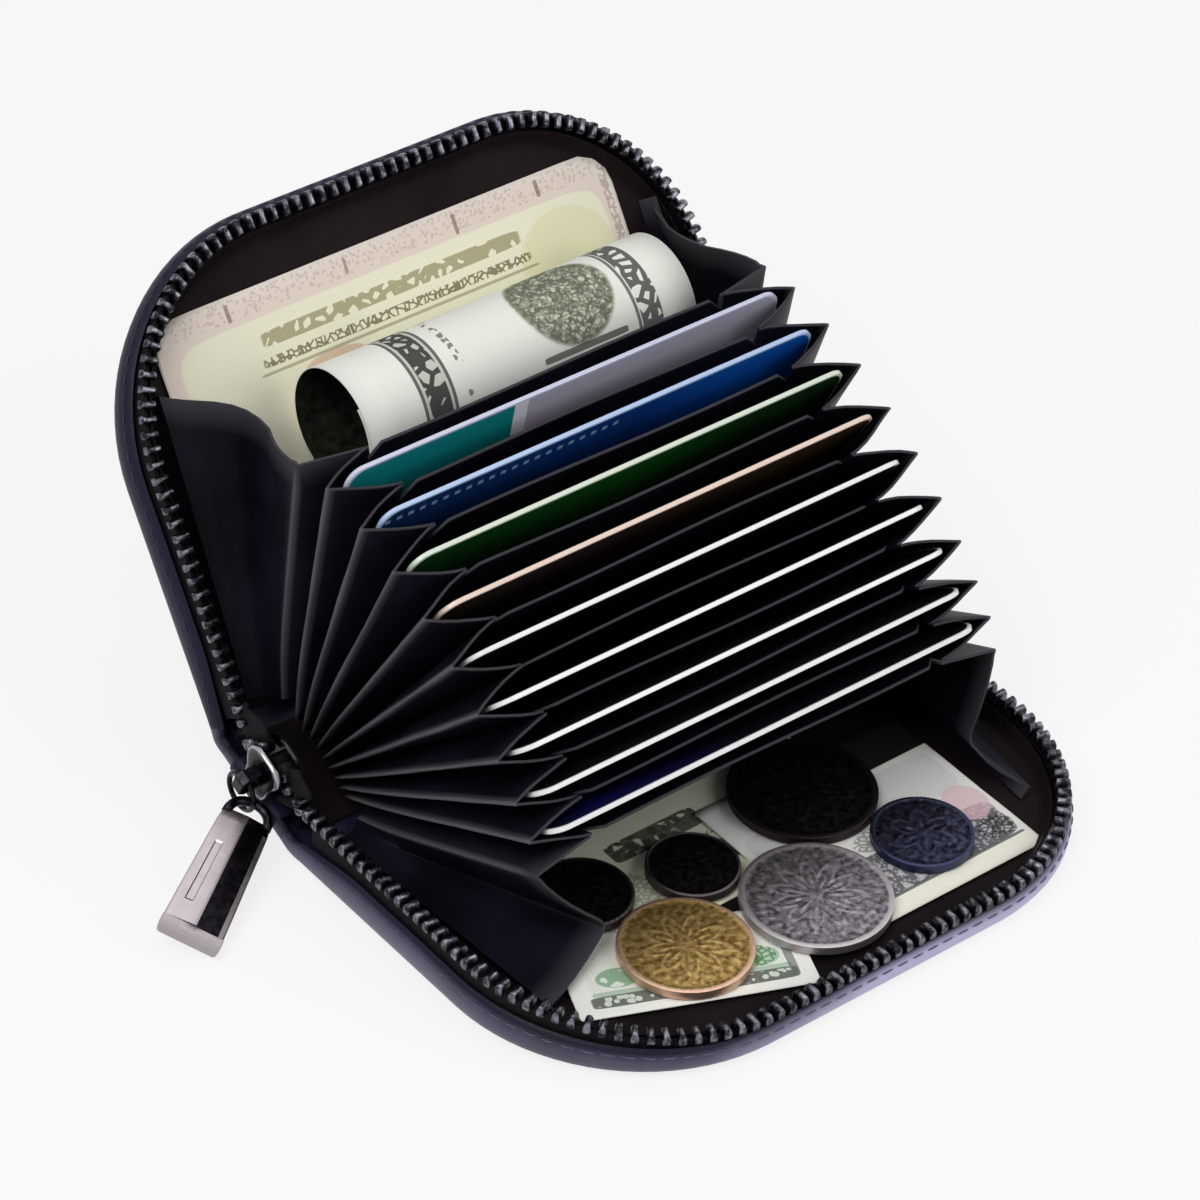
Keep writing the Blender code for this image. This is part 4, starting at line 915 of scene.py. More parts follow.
# Cards: laminated PVC at the standard 85.6 by 54 mm, die-cut with rounded corners. The white core shows
# as a line all round, and each face is printed in plain bands of its own.
CARD_LENGTH = 0.0856
CARD_HEIGHT = 0.05398
CARD_ROOT = 0.0025
CARD_CORNER = 0.00318
CARD_CORNER_STEPS = 8
CARD_THICKNESS = 0.00076
CORE_SHOWN = 0.0005
DASHES_BELOW = 0.0023
DASHES_HALF = 0.0004
DASHES_PITCH = 0.0022
DASHES_LEFT_SHARE = 0.55
DASHES_DENSE = 0.8
# The rim's section from the middle of one face to the middle of the other: how far inside the outline,
# which side in shares of half the thickness, how far from that side, and whether the core shows
CARD_SECTION = ((0.004, -1, 0, 0), (CORE_SHOWN, -1, 0, 0), (CORE_SHOWN * 0.8, -1, 0, 1), (0.0001, -1, 0, 1),
                (0, -1, 0.0001, 1), (0, 1, -0.0001, 1), (0.0001, 1, 0, 1), (CORE_SHOWN * 0.8, 1, 0, 1),
                (CORE_SHOWN, 1, 0, 0), (0.004, 1, 0, 0))
# Colour of each card's cut edge, and its face's bands from left to right: share of the length, colour
CARD_PRINTS = [("#cfd3ea", [(0, "#12888c"), (0.375, "#e9e6f2"), (0.405, "#b9b3c6")]),
               ("#b6cdf2", [(0, "#12305e"), (0.6, "#0f3b86"), (0.8, "#0c57b8")]),
               ("#dfead8", [(0, "#0c3a12"), (0.5, "#0a4a10"), (0.8, "#0b2e10")]),
               ("#f0d8c8", [(0, "#26241f"), (0.3, "#2b1f1d"), (0.8, "#3a2a16")]),
               ("#f2f2f0", [(0, "#121214"), (0.5, "#0c0c0e"), (0.8, "#101012")]),
               ("#f4f4f2", [(0, "#0e0e10"), (0.5, "#0a0a0c"), (0.8, "#121214")]),
               ("#f6f6f4", [(0, "#0c0c0e"), (0.5, "#101012"), (0.8, "#0a0a0c")]),
               ("#f2f2f0", [(0, "#101010"), (0.5, "#0c0c0e"), (0.8, "#0e0e10")]),
               ("#f4f4f4", [(0, "#10102a"), (0.12, "#101048"), (0.46, "#0a0a10")])]


def card_outline():
    """Points round the card from its near left corner, as x and distance out, with drawn corners."""
    points = []
    for sign_x, sign_out, first in ((1, 1, 0), (-1, 1, pi / 2), (-1, -1, pi), (1, -1, 1.5 * pi)):
        centre_x = sign_x * (CARD_LENGTH / 2 - CARD_CORNER)
        centre_out = CARD_ROOT + CARD_HEIGHT / 2 + sign_out * (CARD_HEIGHT / 2 - CARD_CORNER)
        for i in range(CARD_CORNER_STEPS + 1):
            turn = first + pi / 2 * i / CARD_CORNER_STEPS
            points.append((centre_x + CARD_CORNER * cos(turn), centre_out + CARD_CORNER * sin(turn)))
    return points


def laminated(k, core_colour, bands):
    """A card's laminate: bands along its face, a row of dashes on the second card, and the core's line."""
    made = finish(f"laminated_pvc_card_{k + 1}", bands[0][1], 0.32, {"Coat Weight": 0.3})
    marks = node(made, "ShaderNodeAttribute", attribute_name="marks").outputs["Vector"]
    across, out, core = node(made, "ShaderNodeSeparateXYZ", {0: marks}).outputs
    length_share = node(made, "ShaderNodeMapRange", {"Value": across, "From Min": -CARD_LENGTH / 2,
                                                     "From Max": CARD_LENGTH / 2}).outputs[0]
    printed = node(made, "ShaderNodeValToRGB", {0: length_share}, bands)
    printed.color_ramp.interpolation = "CONSTANT" if k == 0 else "LINEAR"
    face = printed.outputs[0]
    if k == 1:
        along_row = node(made, "ShaderNodeMath", {0: across, 1: 2 * pi / DASHES_PITCH}, operation="MULTIPLY")
        wave = node(made, "ShaderNodeMath", {0: along_row.outputs[0]}, operation="SINE")
        dashes = node(made, "ShaderNodeMath", {0: wave.outputs[0], 1: 0.1}, operation="GREATER_THAN")
        dashes_out = CARD_ROOT + CARD_HEIGHT - DASHES_BELOW
        row = node(made, "ShaderNodeMath", {0: out, 1: dashes_out, 2: DASHES_HALF}, operation="COMPARE")
        left = node(made, "ShaderNodeMath", {0: length_share, 1: DASHES_LEFT_SHARE}, operation="LESS_THAN")
        amount = DASHES_DENSE
        for share in (row, left, dashes):
            amount = node(made, "ShaderNodeMath", {0: share.outputs[0], 1: amount},
                          operation="MULTIPLY").outputs[0]
        face = node(made, "ShaderNodeMix", {0: amount, 6: face, 7: "#9fb6dd"}, data_type="RGBA").outputs[2]
    core_line = node(made, "ShaderNodeMix", {0: core, 6: face, 7: core_colour}, data_type="RGBA")
    join_up(made, core_line.outputs[2], "Base Color")
    return made


for k, (core_colour, bands) in enumerate(CARD_PRINTS):
    middle = CARD_ROOT + CARD_HEIGHT / 2
    rows, marks = [], []
    for inset, way, rounding, core in CARD_SECTION:
        across = way * CARD_THICKNESS / 2 + rounding
        kept_x, kept_out = 1 - inset / (CARD_LENGTH / 2), 1 - inset / (CARD_HEIGHT / 2)
        places = [(x * kept_x, middle + (out - middle) * kept_out) for x, out in card_outline()]
        rows.append([leaf_point(pocket_axes[k], x, across, out) for x, out in places])
        marks.append([(x, out, core) for x, out in places])
    laminate = laminated(k, core_colour, bands)
    card = skin(f"pvc_card_{k + 1}", [rows], laminate, [marks], ring=True, lids=True)
    sharpened(card, 40)
    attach(card, f"card_{k + 1}")
    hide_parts(f"card_{k + 1}")


# Notes: printed cotton paper. One lies flat in the back with a rounded panel inside a paler border, one
# is rolled into a tube before it, and three lie in the front under the coins. The print is generic.
PAPER_THICKNESS = 0.00016
NOTE_STEPS = 20
# Fine print patterns: the size of one cell, the kind of cell, and how much of each cell takes the ink
PATTERNS = {"glyphs": (0.0017, "F1", 0.5), "dots": (0.0014, "F1", 0.42), "specks": (0.0007, "F1", 0.4),
            "lace": (0.0011, "DISTANCE_TO_EDGE", 0.13), "scroll": (0.0021, "DISTANCE_TO_EDGE", 0.2)}
# Each note's paper and its prints in the order they are laid down: middle x and out, half width and
# height in millimetres, corner power (2 round, 9 square), pattern or solid, ink and how dense it is
PRINTS = {
    "note_under_fan": ("#eeeed8", [
        (0, 0, 27, 16, 9, "waves", "#a9b08c", 0.25),
        (-4, -1, 9, 2.2, 9, "scroll", "#23261f", 0.85),
        (-4, -1, 8.8, 2, 9, "glyphs", "#3c4034", 0.6),
        (-3, 3.4, 9, 0.5, 9, "specks", "#3a3f33", 0.7),
        # A dark rounded blot near the far edge, with a darker scroll over it
        (5.5, 8, 4.6, 2.6, 2, "solid", "#4a4d44", 0.8),
        (5.5, 8, 4.4, 2.4, 2, "scroll", "#1c1d19", 0.8),
        (-16, 8, 5, 6, 2, "lace", "#6d8a6a", 0.5)]),
    "note_front_left": ("#f8f9f2", [
        (0, -1, 16, 5.8, 9, "waves", "#a9cfae", 0.35),
        (0, 5.8, 16.6, 1.3, 9, "solid", "#3c443d", 0.85),
        (0, 5.8, 16.2, 1, 9, "dots", "#e4eadd", 0.9),
        (0, 4.1, 16, 0.5, 9, "solid", "#8fb596", 0.6),
        (16, -1, 0.7, 7.6, 9, "solid", "#6a756b", 0.75),
        (11.5, 1.4, 3.4, 2.2, 2, "solid", "#7fae84", 0.55),
        (11, 1.2, 3.4, 2.4, 2, "lace", "#3f8a4c", 0.8),
        (-11, 1, 3.6, 2.2, 2, "scroll", "#57a067", 0.7),
        (3, 2, 4, 0.6, 9, "specks", "#4a5a4c", 0.7)]),
    "note_front_right": ("#f0efea", [
        # Painted shadow: a solid near-black block over the note's corner towards the hinge, in the gusset's
        # shadow
        (18, -19, 18, 9, 9, "solid", "#131217", 1),
        (0, -4, 19.5, 5, 9, "waves", "#8d8894", 0.4),
        (0, 10, 19.6, 4.6, 9, "solid", "#85828c", 0.55),
        (0, 10, 19.6, 4.6, 9, "scroll", "#34323a", 0.75),
        (0, 10, 19.6, 4.6, 9, "specks", "#e2e0e4", 0.45),
        (16.5, 4.5, 3.8, 4.5, 2, "solid", "#e6c0c8", 0.7),
        (16.5, 11.5, 3.4, 2.6, 2, "lace", "#2c2b31", 0.8),
        (2, 3, 8, 3, 2, "lace", "#5a5763", 0.6),
        (0, 16.8, 20.7, 2, 9, "solid", "#faf9ea", 1),
        (0, 14.7, 19.8, 0.3, 9, "solid", "#3c3a42", 0.8)]),
    "note_back": ("#f2e8de", [
        (0, 0, 45.4, 25.6, 9, "solid", "#ead7cb", 0.6),
        (0, 24, 43, 1.8, 9, "specks", "#b9a298", 0.4),
        (-31, 23.6, 0.35, 1.5, 9, "solid", "#84705f", 0.7),
        (-8, 23.8, 0.3, 1.3, 9, "solid", "#84705f", 0.6),
        (14, 23.4, 0.35, 1.7, 9, "solid", "#6f5d50", 0.7),
        (31, 23.8, 0.4, 1.4, 9, "solid", "#7c6657", 0.7),
        (44, 0, 0.8, 24, 9, "lace", "#8d7c70", 0.5),
        (0, -0.6, 42.6, 22, 14, "solid", "#f7f5e0", 1),
        (0, -0.6, 42.6, 22, 14, "waves", "#ddd6a6", 0.35),
        (33, 11, 10, 9, 2, "solid", "#e0dda4", 0.45),
        (-1, 17.6, 26, 1.3, 9, "scroll", "#8f8450", 0.7),
        (-1, 14, 27, 0.8, 9, "lace", "#655b2e", 0.8),
        (-1, 12.3, 28, 0.25, 9, "solid", "#7c7241", 0.55),
        (-15, 10.6, 6, 1.6, 2, "solid", "#d08c66", 0.45)]),
    "rolled_note": ("#f8f9f2", [
        (0, 0, 31, 60, 9, "waves", "#c9d3b4", 0.15),
        (-18.7, 0, 2.8, 60, 9, "solid", "#a3aa9b", 0.5),
        (-18.7, 0, 2.1, 60, 9, "scroll", "#1d241f", 0.9),
        (-21.6, 0, 0.3, 60, 9, "solid", "#2b322c", 0.85),
        (-15.8, 0, 0.3, 60, 9, "solid", "#2b322c", 0.85),
        (-12.6, 0, 0.6, 9, 9, "dots", "#5a6053", 0.8),
        (24, 0, 2.1, 60, 9, "scroll", "#1d241f", 0.85),
        (21.4, 0, 0.3, 60, 9, "solid", "#2b322c", 0.8),
        (10.5, 2, 9.4, 10.5, 2, "solid", "#a8b18c", 0.65),
        (10.5, 2, 9.2, 10.3, 2, "scroll", "#46523a", 0.6),
        (10.5, 2, 8, 9, 2, "specks", "#dfe6cc", 0.6),
        (10.5, 2, 9.2, 10.3, 2, "lace", "#2c3527", 0.45),
        (10.5, -8.5, 8.5, 0.6, 9, "solid", "#2c3426", 0.8),
        (-11, 12, 6, 2.5, 2, "dots", "#c98d86", 0.7)])}


def printed_paper(name):
    """Cotton paper with its prints laid over one another in the note's own place."""
    paper, prints = PRINTS[name]
    made = finish(f"cotton_paper_{name}", paper, 0.85, {"Specular IOR Level": 0.15})
    place = node(made, "ShaderNodeAttribute", attribute_name="marks").outputs["Vector"]
    axes = node(made, "ShaderNodeSeparateXYZ", {0: place}).outputs
    patterns = {}
    for kind, (size, feature, filled) in PATTERNS.items():
        cells = node(made, "ShaderNodeTexVoronoi", {"Vector": place, "Scale": 1 / size}, feature=feature)
        patterns[kind] = node(made, "ShaderNodeMath", {0: cells.outputs[0], 1: filled}, operation="LESS_THAN")
    lines = node(made, "ShaderNodeTexWave", {"Vector": place, "Scale": 640.0, "Distortion": 5.0,
                                             "Detail": 1.0, "Detail Scale": 0.3})
    patterns["waves"] = node(made, "ShaderNodeMapRange", {"Value": lines.outputs[1], "From Min": 0.4,
                                                          "From Max": 0.9})
    colour = paper
    for x, out, half_x, half_out, power, pattern, ink, dense in prints:
        reach = []
        for axis, middle, half in ((axes[0], x, half_x), (axes[1], out, half_out)):
            away = node(made, "ShaderNodeMath", {0: axis, 1: middle / 1000}, operation="SUBTRACT")
            share = node(made, "ShaderNodeMath", {0: away.outputs[0], 1: 1000 / half}, operation="MULTIPLY")
            size = node(made, "ShaderNodeMath", {0: share.outputs[0]}, operation="ABSOLUTE")
            reach.append(node(made, "ShaderNodeMath", {0: size.outputs[0], 1: power}, operation="POWER"))
        both = node(made, "ShaderNodeMath", {0: reach[0].outputs[0], 1: reach[1].outputs[0]}, operation="ADD")
        inside = node(made, "ShaderNodeMapRange", {"Value": both.outputs[0], "From Min": 1.0,
                                                   "From Max": 0.85, "To Max": dense})
        amount = inside
        if pattern != "solid":
            amount = node(made, "ShaderNodeMath", {0: inside.outputs[0], 1: patterns[pattern].outputs[0]},
                          operation="MULTIPLY")
        colour = node(made, "ShaderNodeMix", {0: amount.outputs[0], 6: colour, 7: ink},
                      data_type="RGBA").outputs[2]
    join_up(made, colour, "Base Color")
    fibre = node(made, "ShaderNodeTexNoise", {"Vector": place, "Scale": 1800.0, "Detail": 3.0})
    fibre_bump = node(made, "ShaderNodeBump", {"Strength": 0.2, "Distance": 0.00005,
                                               "Height": fibre.outputs[0]})
    join_up(made, fibre_bump.outputs[0], "Normal")
    return made


# For each flat note: its cover, how it is turned in its plane, its corners and how much it curls up
NOTES = {"note_under_fan": ("front", 0, 0.0006, 0.0001),
         "note_front_left": ("front", radians(22), 0.0006, 0.0003),
         "note_front_right": ("front", 0, 0.0006, 0.0004),
         "note_back": ("back", 0, 0.006, 0.0005)}
for name, (side, turn, corner, curl) in NOTES.items():
    hinge, outwards, inwards = COVERS[side]
    along = ACROSS * cos(turn) + outwards * sin(turn)
    farther = outwards * cos(turn) - ACROSS * sin(turn)
    (near_x, far_x), (near_out, far_out), (bottom, top) = spans(name, hinge, (along, farther, inwards))
    middle = hinge + along * (near_x + far_x) / 2 + farther * (near_out + far_out) / 2
    middle += inwards * (bottom + PAPER_THICKNESS / 2)
    width, height = far_x - near_x, far_out - near_out
    rows, marks = [], []
    for i in range(NOTE_STEPS + 1):
        # Columns crowd towards the ends, so that rounded corners are drawn fairly
        x = width / 2 * sin((i / NOTE_STEPS - 0.5) * pi)
        reach = height / 2 - corner_drop(width / 2 - abs(x), corner)
        row, row_marks = [], []
        for j in range(NOTE_STEPS + 1):
            out = reach * (2 * j / NOTE_STEPS - 1)
            lift = curl * max(noise.noise(Vector((x * 60, out * 60, len(name)))), 0)
            row.append(middle + along * x + farther * out + inwards * lift)
            row_marks.append((x, out, 0))
        rows.append(row)
        marks.append(row_marks)
    sheet = skin(f"{name}_paper", [rows], printed_paper(name), [marks])
    thickened(sheet, PAPER_THICKNESS)
    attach(sheet, f"{side}_cover")
    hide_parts(name)

# The rolled note: one and a third turns of paper, its inner face painted all over in a dark tone as shade
ROLL_TURNS = 1.35
ROLL_STEPS = 90
ROLL_COLUMNS = 12
ROLL_WAIST = 0.02
ROLL_GAP = 0.0008
ROLL_OPENS_AT = radians(200)
FLAT_ROLL_MIDDLE = 0.4
ROLL_END_DEPTH = 0.004
hinge, outwards, inwards = COVERS["back"]
roll_low, roll_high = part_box("note_roll")
roll_middle = (roll_low + roll_high) / 2
# The roll's axis tilts a little: it runs between the middles of its two ends
roll_corners = [vertex.co for vertex in frame["nodes"]["note_roll"].data.vertices]
left_end = [corner for corner in roll_corners if corner.x < roll_low.x + ROLL_END_DEPTH]
right_end = [corner for corner in roll_corners if corner.x > roll_high.x - ROLL_END_DEPTH]
roll_axis = (sum(right_end, Vector()) / len(right_end) - sum(left_end, Vector()) / len(left_end)).normalized()
roll_out = inwards.cross(roll_axis).normalized()
if roll_out.dot(outwards) < 0:
    roll_out = -roll_out
(left_reach, right_reach), (bottom, top) = spans("note_roll", roll_middle, (roll_axis, inwards))
ROLL_LENGTH = right_reach - left_reach
ROLL_RADIUS = (top - bottom) / 2
roll_middle += roll_axis * (right_reach + left_reach) / 2 + inwards * (top + bottom) / 2
rows, marks = [], []
for i in range(ROLL_STEPS + 1):
    turned = ROLL_TURNS * 2 * pi * i / ROLL_STEPS
    radius = ROLL_RADIUS - PAPER_THICKNESS - ROLL_GAP * turned / (2 * pi)
    angle = ROLL_OPENS_AT - turned
    row, row_marks = [], []
    for j in range(ROLL_COLUMNS + 1):
        x = ROLL_LENGTH * (j / ROLL_COLUMNS - 0.5)
        shrink = 1 - ROLL_WAIST * sin(pi * j / ROLL_COLUMNS)
        spoke = (roll_out * cos(angle) + inwards * sin(angle)) * radius * shrink
        row.append(roll_middle + roll_axis * x + spoke)
        row_marks.append((x, (turned - FLAT_ROLL_MIDDLE * 2 * pi) * ROLL_RADIUS, 0))
    rows.append(row)
    marks.append(row_marks)
roll = skin("rolled_note_paper", [rows], printed_paper("rolled_note"), [marks])
# Inner face: painted shade, a near-black green all over the note's reverse
inside_shade = finish("cotton_paper_painted_inside_shade", "#12140f", 0.85, {"Specular IOR Level": 0.1})
place = node(inside_shade, "ShaderNodeTexCoord").outputs["Object"]
inside_shade_noise = node(inside_shade, "ShaderNodeTexNoise", {"Vector": place, "Scale": 500.0, "Detail": 3.0})
inside_shade_tone = node(inside_shade, "ShaderNodeValToRGB", {0: inside_shade_noise.outputs[0]}, [(0.35, "#0d0f0a"), (0.7, "#2a2d20")])
join_up(inside_shade, inside_shade_tone.outputs[0], "Base Color")
roll.data.materials.append(inside_shade)
worked(roll, ("SOLIDIFY", {"thickness": PAPER_THICKNESS, "offset": 0, "material_offset": 1}))
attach(roll, "note_roll")
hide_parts("note_roll")
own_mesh(roll)


# Coins: struck discs with a raised rim, a ring of beads inside it, and a plain rosette of petals. Handling
# has polished the high places, and the low ones have darkened.
COIN_RINGS = 22
COIN_SPOKES = 192
COIN_RELIEF = 0.0002
COIN_EDGE_ROUNDING = 0.00018
RIM_FROM = 0.935


def coin_metal(name, high_colour, low_colour, rim_colour, roughness):
    """Struck metal whose marks carry the relief: bright on the high places, dark and stained in the low."""
    made = finish(name, high_colour, roughness, {"Metallic": 1.0})
    marks = node(made, "ShaderNodeAttribute", attribute_name="marks").outputs["Vector"]
    parts = node(made, "ShaderNodeSeparateXYZ", {0: marks}).outputs
    place = node(made, "ShaderNodeTexCoord").outputs["Object"]
    stain = node(made, "ShaderNodeTexNoise", {"Vector": place, "Scale": 1000.0, "Detail": 6.0,
                                              "Roughness": 0.65}).outputs[0]
    half_relief = node(made, "ShaderNodeMath", {0: parts[2], 1: 0.35}, operation="MULTIPLY")
    relief = node(made, "ShaderNodeMath", {0: half_relief.outputs[0], 1: stain}, operation="ADD")
    wear_and_highlight = node(made, "ShaderNodeMapRange", {"Value": relief.outputs[0], "From Min": 0.38, "From Max": 0.78})
    face = node(made, "ShaderNodeMix", {0: wear_and_highlight.outputs[0], 6: low_colour, 7: high_colour}, data_type="RGBA")
    on_rim = node(made, "ShaderNodeMath", {0: parts[0], 1: RIM_FROM}, operation="GREATER_THAN")
    rimmed = node(made, "ShaderNodeMix", {0: on_rim.outputs[0], 6: face.outputs[2], 7: rim_colour},
                  data_type="RGBA")
    join_up(made, rimmed.outputs[2], "Base Color")
    rough = node(made, "ShaderNodeMapRange", {"Value": stain, "To Min": roughness + 0.15,
                                              "To Max": roughness - 0.05})
    join_up(made, rough.outputs[0], "Roughness")
    pits = node(made, "ShaderNodeBump", {"Strength": 0.7, "Distance": 0.0001, "Height": stain})
    join_up(made, pits.outputs[0], "Normal")
    return made


# Each coin's slot, the colours of its high and low places and of its rim, roughness and petals
COINS = {"coin_gold": ("gold_coin", "#f4d38a", "#7d5a2b", "#d8b49c", 0.42, 9),
         "coin_silver": ("silver_coin", "#c4bdc3", "#4c474e", "#b9b2b6", 0.42, 11),
         "coin_dark_back": ("dark_coin", "#4a4446", "#0d0b0c", "#3a3233", 0.4, 8),
         "coin_blue_small": ("blue_grey_coin", "#5a5e78", "#14151f", "#3f435e", 0.36, 6),
         "coin_dark_middle": ("dark_coin", "#423c3e", "#0c0a0b", "#5a5354", 0.42, 5),
         "coin_dark_left": ("dark_coin", "#423c3e", "#0c0a0b", "#5a5354", 0.42, 6)}


def relief_share(share, turn, petals):
    """Height of the coin's face from 0 to 1, so far out from its middle and so far round."""
    if share > 0.94:
        return 1.0
    beads = 0.6 * max(cos(turn * 48), 0) * max(1 - abs(share - 0.89) / 0.03, 0)
    petal = 0.34 + 0.28 * abs(cos(turn * petals / 2)) ** 1.4
    flower = 0.5 * max(1 - abs(share - petal) / 0.07, 0)
    leaves = 0.4 * max(cos(turn * petals * 3 + 12 * share), 0) * max(1 - abs(share - 0.75) / 0.08, 0)
    veins = 0.4 * max(cos(turn * petals), 0) ** 2 * max(1 - abs(share - 0.28) / 0.2, 0)
    boss = 0.5 * max(1 - share / 0.1, 0)
    return max(beads, flower, leaves, veins, boss)


for name, (slot, high_colour, low_colour, rim_colour, roughness, petals) in COINS.items():
    low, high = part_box(name)
    middle = (low + high) / 2
    radius, half = (high.x - low.x) / 2, (high.z - low.z) / 2
    rows, marks = [], []
    shares = [1 - i / COIN_RINGS for i in range(COIN_RINGS)]
    for way, rings in ((-1, shares[::-1]), (1, shares)):
        for share in rings:
            row, row_marks = [], []
            for i in range(COIN_SPOKES):
                turn = 2 * pi * i / COIN_SPOKES
                tall = relief_share(share, turn, petals)
                rounding = COIN_EDGE_ROUNDING * max((share - 0.97) / 0.03, 0) ** 2
                height = way * (half - COIN_RELIEF * (1 - tall) - rounding)
                row.append(middle + Vector((share * radius * cos(turn), share * radius * sin(turn), height)))
                row_marks.append((share, 0, tall))
            rows.append(row)
            marks.append(row_marks)
    metal = coin_metal(f"struck_metal_{name}", high_colour, low_colour, rim_colour, roughness)
    coin = skin(f"{name}_struck", [rows], metal, [marks], ring=True, lids=True)
    sharpened(coin, 55)
    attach(coin, name)
    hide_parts(name)


# Slider and pull: cast zinc. The slider's two plates, joined by a post, hold the rows together. A bridge on
# the outer plate holds a ring, on which hangs a long thick-ended pull of two sloping facets. The slider,
# bridge, ring, loop and one facet of the pull are painted near black for a dark reflection.

# Satin nickel, pinkish grey, smooth enough to mirror the dark leather beside it
satin = finish("satin_nickel_plated_zinc", "#a39a9d", 0.3, {"Metallic": 1.0})
place = node(satin, "ShaderNodeTexCoord").outputs["Object"]
handled = node(satin, "ShaderNodeTexNoise", {"Vector": place, "Scale": 420.0, "Detail": 3.0})
handled_rough = node(satin, "ShaderNodeMapRange", {"Value": handled.outputs[0], "To Min": 0.16,
                                                   "To Max": 0.36})
join_up(satin, handled_rough.outputs[0], "Roughness")

# Zinc painted near black for the dark reflection it shows, with a painted highlight along its edges, which
# marks carry
painted_dark_reflection_metal = finish("zinc_with_painted_dark_reflection", "#343237", 0.24, {"Metallic": 1.0})
place = node(painted_dark_reflection_metal, "ShaderNodeTexCoord").outputs["Object"]
marks = node(painted_dark_reflection_metal, "ShaderNodeAttribute", attribute_name="marks").outputs["Vector"]
painted_light_mark = node(painted_dark_reflection_metal, "ShaderNodeSeparateXYZ", {0: marks}).outputs[2]
dark_reflection_patches = node(painted_dark_reflection_metal, "ShaderNodeTexNoise", {"Vector": place, "Scale": 900.0, "Detail": 2.0})
dark_reflection_tone = node(painted_dark_reflection_metal, "ShaderNodeValToRGB", {0: dark_reflection_patches.outputs[0]}, [(0.4, "#1b191e"), (0.7, "#2f2c32")])
edge_highlight = node(painted_dark_reflection_metal, "ShaderNodeMix", {0: painted_light_mark, 6: dark_reflection_tone.outputs[0], 7: "#aaa6aa"},
            data_type="RGBA")
join_up(painted_dark_reflection_metal, edge_highlight.outputs[2], "Base Color")
repainted("slider_bridge", painted_dark_reflection_metal)
repainted("pull_link", painted_dark_reflection_metal)

# Half of a plate's outline from its nose to its tail, as shares of half its width and half its length
PLATE_OUTLINE = [(0.3, 1), (0.62, 0.94), (0.9, 0.74), (1, 0.46), (0.9, 0.12), (0.74, -0.2), (0.7, -0.62),
                 (0.6, -0.88), (0.32, -1)]
# The plate's section from its outer face to its inner: inset, depth and painted highlight of its edge
PLATE_SECTION = ((0.3, 0, 0), (0.14, 0.02, 0.15), (0.06, 0.1, 1), (0, 0.4, 0.7), (0, 0.8, 0), (0.05, 1, 0))
PLATE_THICKNESS = 0.0011
POST_OUTLINE = [(0, 0.3), (0.26, 0.02), (0, -0.4), (-0.26, 0.02)]
POST_SHARE = 0.62
slider_sides = PLATE_OUTLINE + [(-u, v) for u, v in PLATE_OUTLINE[::-1]]
slider_box = spans("slider_body", FRONT_HINGE, (ACROSS, ALONG_SPINE, OUT_OF_SPINE))
(outer_x, inner_x), (low_along, high_along), (low_lift, high_lift) = slider_box
slider_along, slider_lift = (low_along + high_along) / 2, (low_lift + high_lift) / 2
half_along, half_lift = (high_along - low_along) / 2, (high_lift - low_lift) / 2
grids, grid_marks = [], []
for plate_x, depth in ((outer_x, PLATE_THICKNESS), (inner_x, -PLATE_THICKNESS)):
    rows, marks = [], []
    for inset, sunk, painted_edge_light in PLATE_SECTION:
        rows.append([on_spine(plate_x + depth * sunk, slider_along + u * half_along * (1 - inset),
                              slider_lift + v * half_lift * (1 - inset * 0.7)) for u, v in slider_sides])
        marks.append([(0, 0, painted_edge_light)] * len(slider_sides))
    grids.append(rows)
    grid_marks.append(marks)
grids.append([[on_spine(x, slider_along + u * half_along, slider_lift + (v + POST_SHARE) * half_lift)
               for u, v in POST_OUTLINE]
              for x in (outer_x + PLATE_THICKNESS / 2, inner_x - PLATE_THICKNESS / 2)])
# The post takes part of the painted edge highlight
grid_marks.append([[(0, 0, 0.4)] * len(POST_OUTLINE)] * 2)
slider = skin("zip_slider_plates", grids, painted_dark_reflection_metal, grid_marks, ring=True, lids=True)
sharpened(slider, 38)
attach(slider, "slider")
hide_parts("slider_body")

# The pull: half width and half thickness along its length, as shares from the loop to the thick end
PULL_SECTIONS = [(0.13, 0.66, 0.5), (0.15, 0.78, 0.62), (0.2, 0.82, 0.7), (0.35, 0.86, 0.74),
                 (0.36, 0.86, 0.74), (0.55, 0.9, 0.76), (0.76, 0.95, 0.78), (0.77, 0.95, 0.78),
                 (0.9, 0.975, 0.8), (0.905, 0.985, 0.97), (0.915, 1, 1), (0.965, 1, 1), (0.99, 0.97, 0.86),
                 (1.0, 0.9, 0.6)]
# A facet's section from the side to the ridge along the middle: share of the half width, share of the
# half thickness, and whether it lies in the recessed slot
FACET_SECTION = [(1, 0.12, 0), (0.985, 0.36, 0), (0.95, 0.46, 0), (0.8, 0.56, 0), (0.66, 0.64, 0),
                 (0.62, 0.66, 1), (0.4, 0.8, 1), (0.36, 0.83, 0), (0.06, 0.985, 0)]
SLOT_FROM, SLOT_TO = 0.355, 0.765
SLOT_DEPTH = 0.00016
END_FROM = 0.91
END_SWELL = 2.2
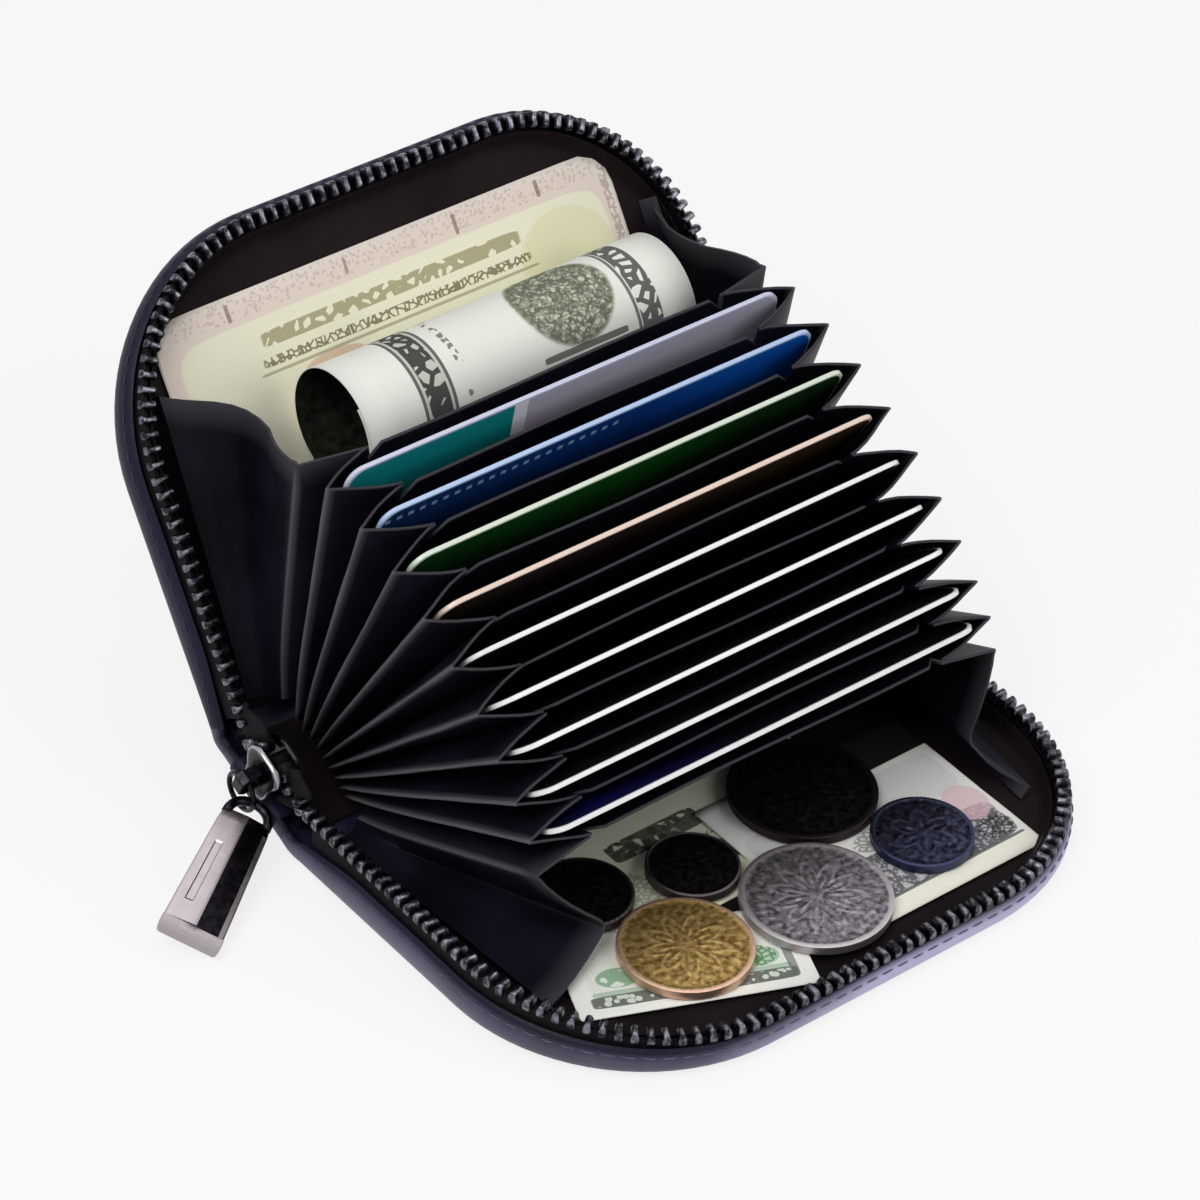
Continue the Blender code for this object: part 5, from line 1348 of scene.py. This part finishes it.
# How far from the pull's middle its facet painted dark as a reflection reaches, in shares of the half width
DARK_REFLECTION_FACET = (0.05, 0.715)
pull_eye = Vector(joints["pull_tab_swing"]["pos_m"])
pull_corners = [vertex.co - pull_eye for vertex in frame["nodes"]["pull_tab"].data.vertices]
pull_way = sum(pull_corners, Vector()).normalized()
pull_start, pull_end = spans("pull_tab", pull_eye, (pull_way,))[0]
sideways = [corner - pull_way * corner.dot(pull_way) for corner in pull_corners]
widest = max(sideways, key=lambda step: step.length)
pull_wide = widest.normalized() if widest.y < 0 else -widest.normalized()
pull_flat = pull_way.cross(pull_wide)
HALF_PULL = widest.length
HALF_THICK = max(abs(step.dot(pull_flat)) for step in sideways)
rows = []
for along, wide, thick in PULL_SECTIONS:
    middle = pull_eye + pull_way * (pull_start + (pull_end - pull_start) * along)
    half_wide, half_thick = HALF_PULL * wide, HALF_THICK * thick
    slot = SLOT_DEPTH if SLOT_FROM < along < SLOT_TO else 0
    whole, facet = [], []
    for w, t, sunk in FACET_SECTION:
        height = (t if along < END_FROM else min(t * END_SWELL, 1)) * half_thick
        whole.append((w * half_wide, height))
        facet.append((w * half_wide, height - slot * sunk))
    ring = [middle + pull_wide * w + pull_flat * t for w, t in whole]
    ring += [middle - pull_wide * w + pull_flat * t for w, t in facet[::-1]]
    ring += [middle - pull_wide * w - pull_flat * t for w, t in facet]
    ring += [middle + pull_wide * w - pull_flat * t for w, t in whole[::-1]]
    rows.append(ring)
# The loop: a bent bar from one shoulder round the eye to the other
LOOP_BAR = 0.0008
LOOP_STEPS = 14
LOOP_SIDES = 10
LOOP_SPREAD_SHARE = 0.66
LOOP_FOOT_SHARE = 0.15
loop_foot = pull_start + (pull_end - pull_start) * LOOP_FOOT_SHARE
loop_top = pull_start + LOOP_BAR
loop_rows = []
for i in range(LOOP_STEPS + 1):
    turn = pi * i / LOOP_STEPS
    spread = HALF_PULL * LOOP_SPREAD_SHARE * cos(turn)
    reach = loop_foot - (loop_foot - loop_top) * sin(turn) ** 0.8
    centre = pull_eye + pull_wide * spread + pull_way * reach
    inwards_of_loop = (pull_wide * cos(turn) - pull_way * sin(turn)).normalized()
    spokes = [pi * 2 * k / LOOP_SIDES for k in range(LOOP_SIDES)]
    loop_rows.append([centre + (inwards_of_loop * cos(spoke) + pull_flat * sin(spoke)) * LOOP_BAR
                      for spoke in spokes])
pull = skin("framed_zip_pull", [rows], satin, ring=True, lids=True)
pull.data.materials.append(painted_dark_reflection_metal)
# The facet painted dark as a reflection takes the second, near-black material
for face in pull.data.polygons:
    from_eye = face.center - pull_eye
    along_share = (from_eye.dot(pull_way) - pull_start) / (pull_end - pull_start)
    across_share = from_eye.dot(pull_wide) / HALF_PULL
    if DARK_REFLECTION_FACET[0] < across_share < DARK_REFLECTION_FACET[1] and along_share < END_FROM - 0.01:
        face.material_index = 1
sharpened(pull, 20)
pull_loop = skin("zip_pull_loop", [loop_rows], painted_dark_reflection_metal, ring=True, lids=True)
for piece in (pull, pull_loop):
    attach(piece, "pull_tab")
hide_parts("pull_tab")
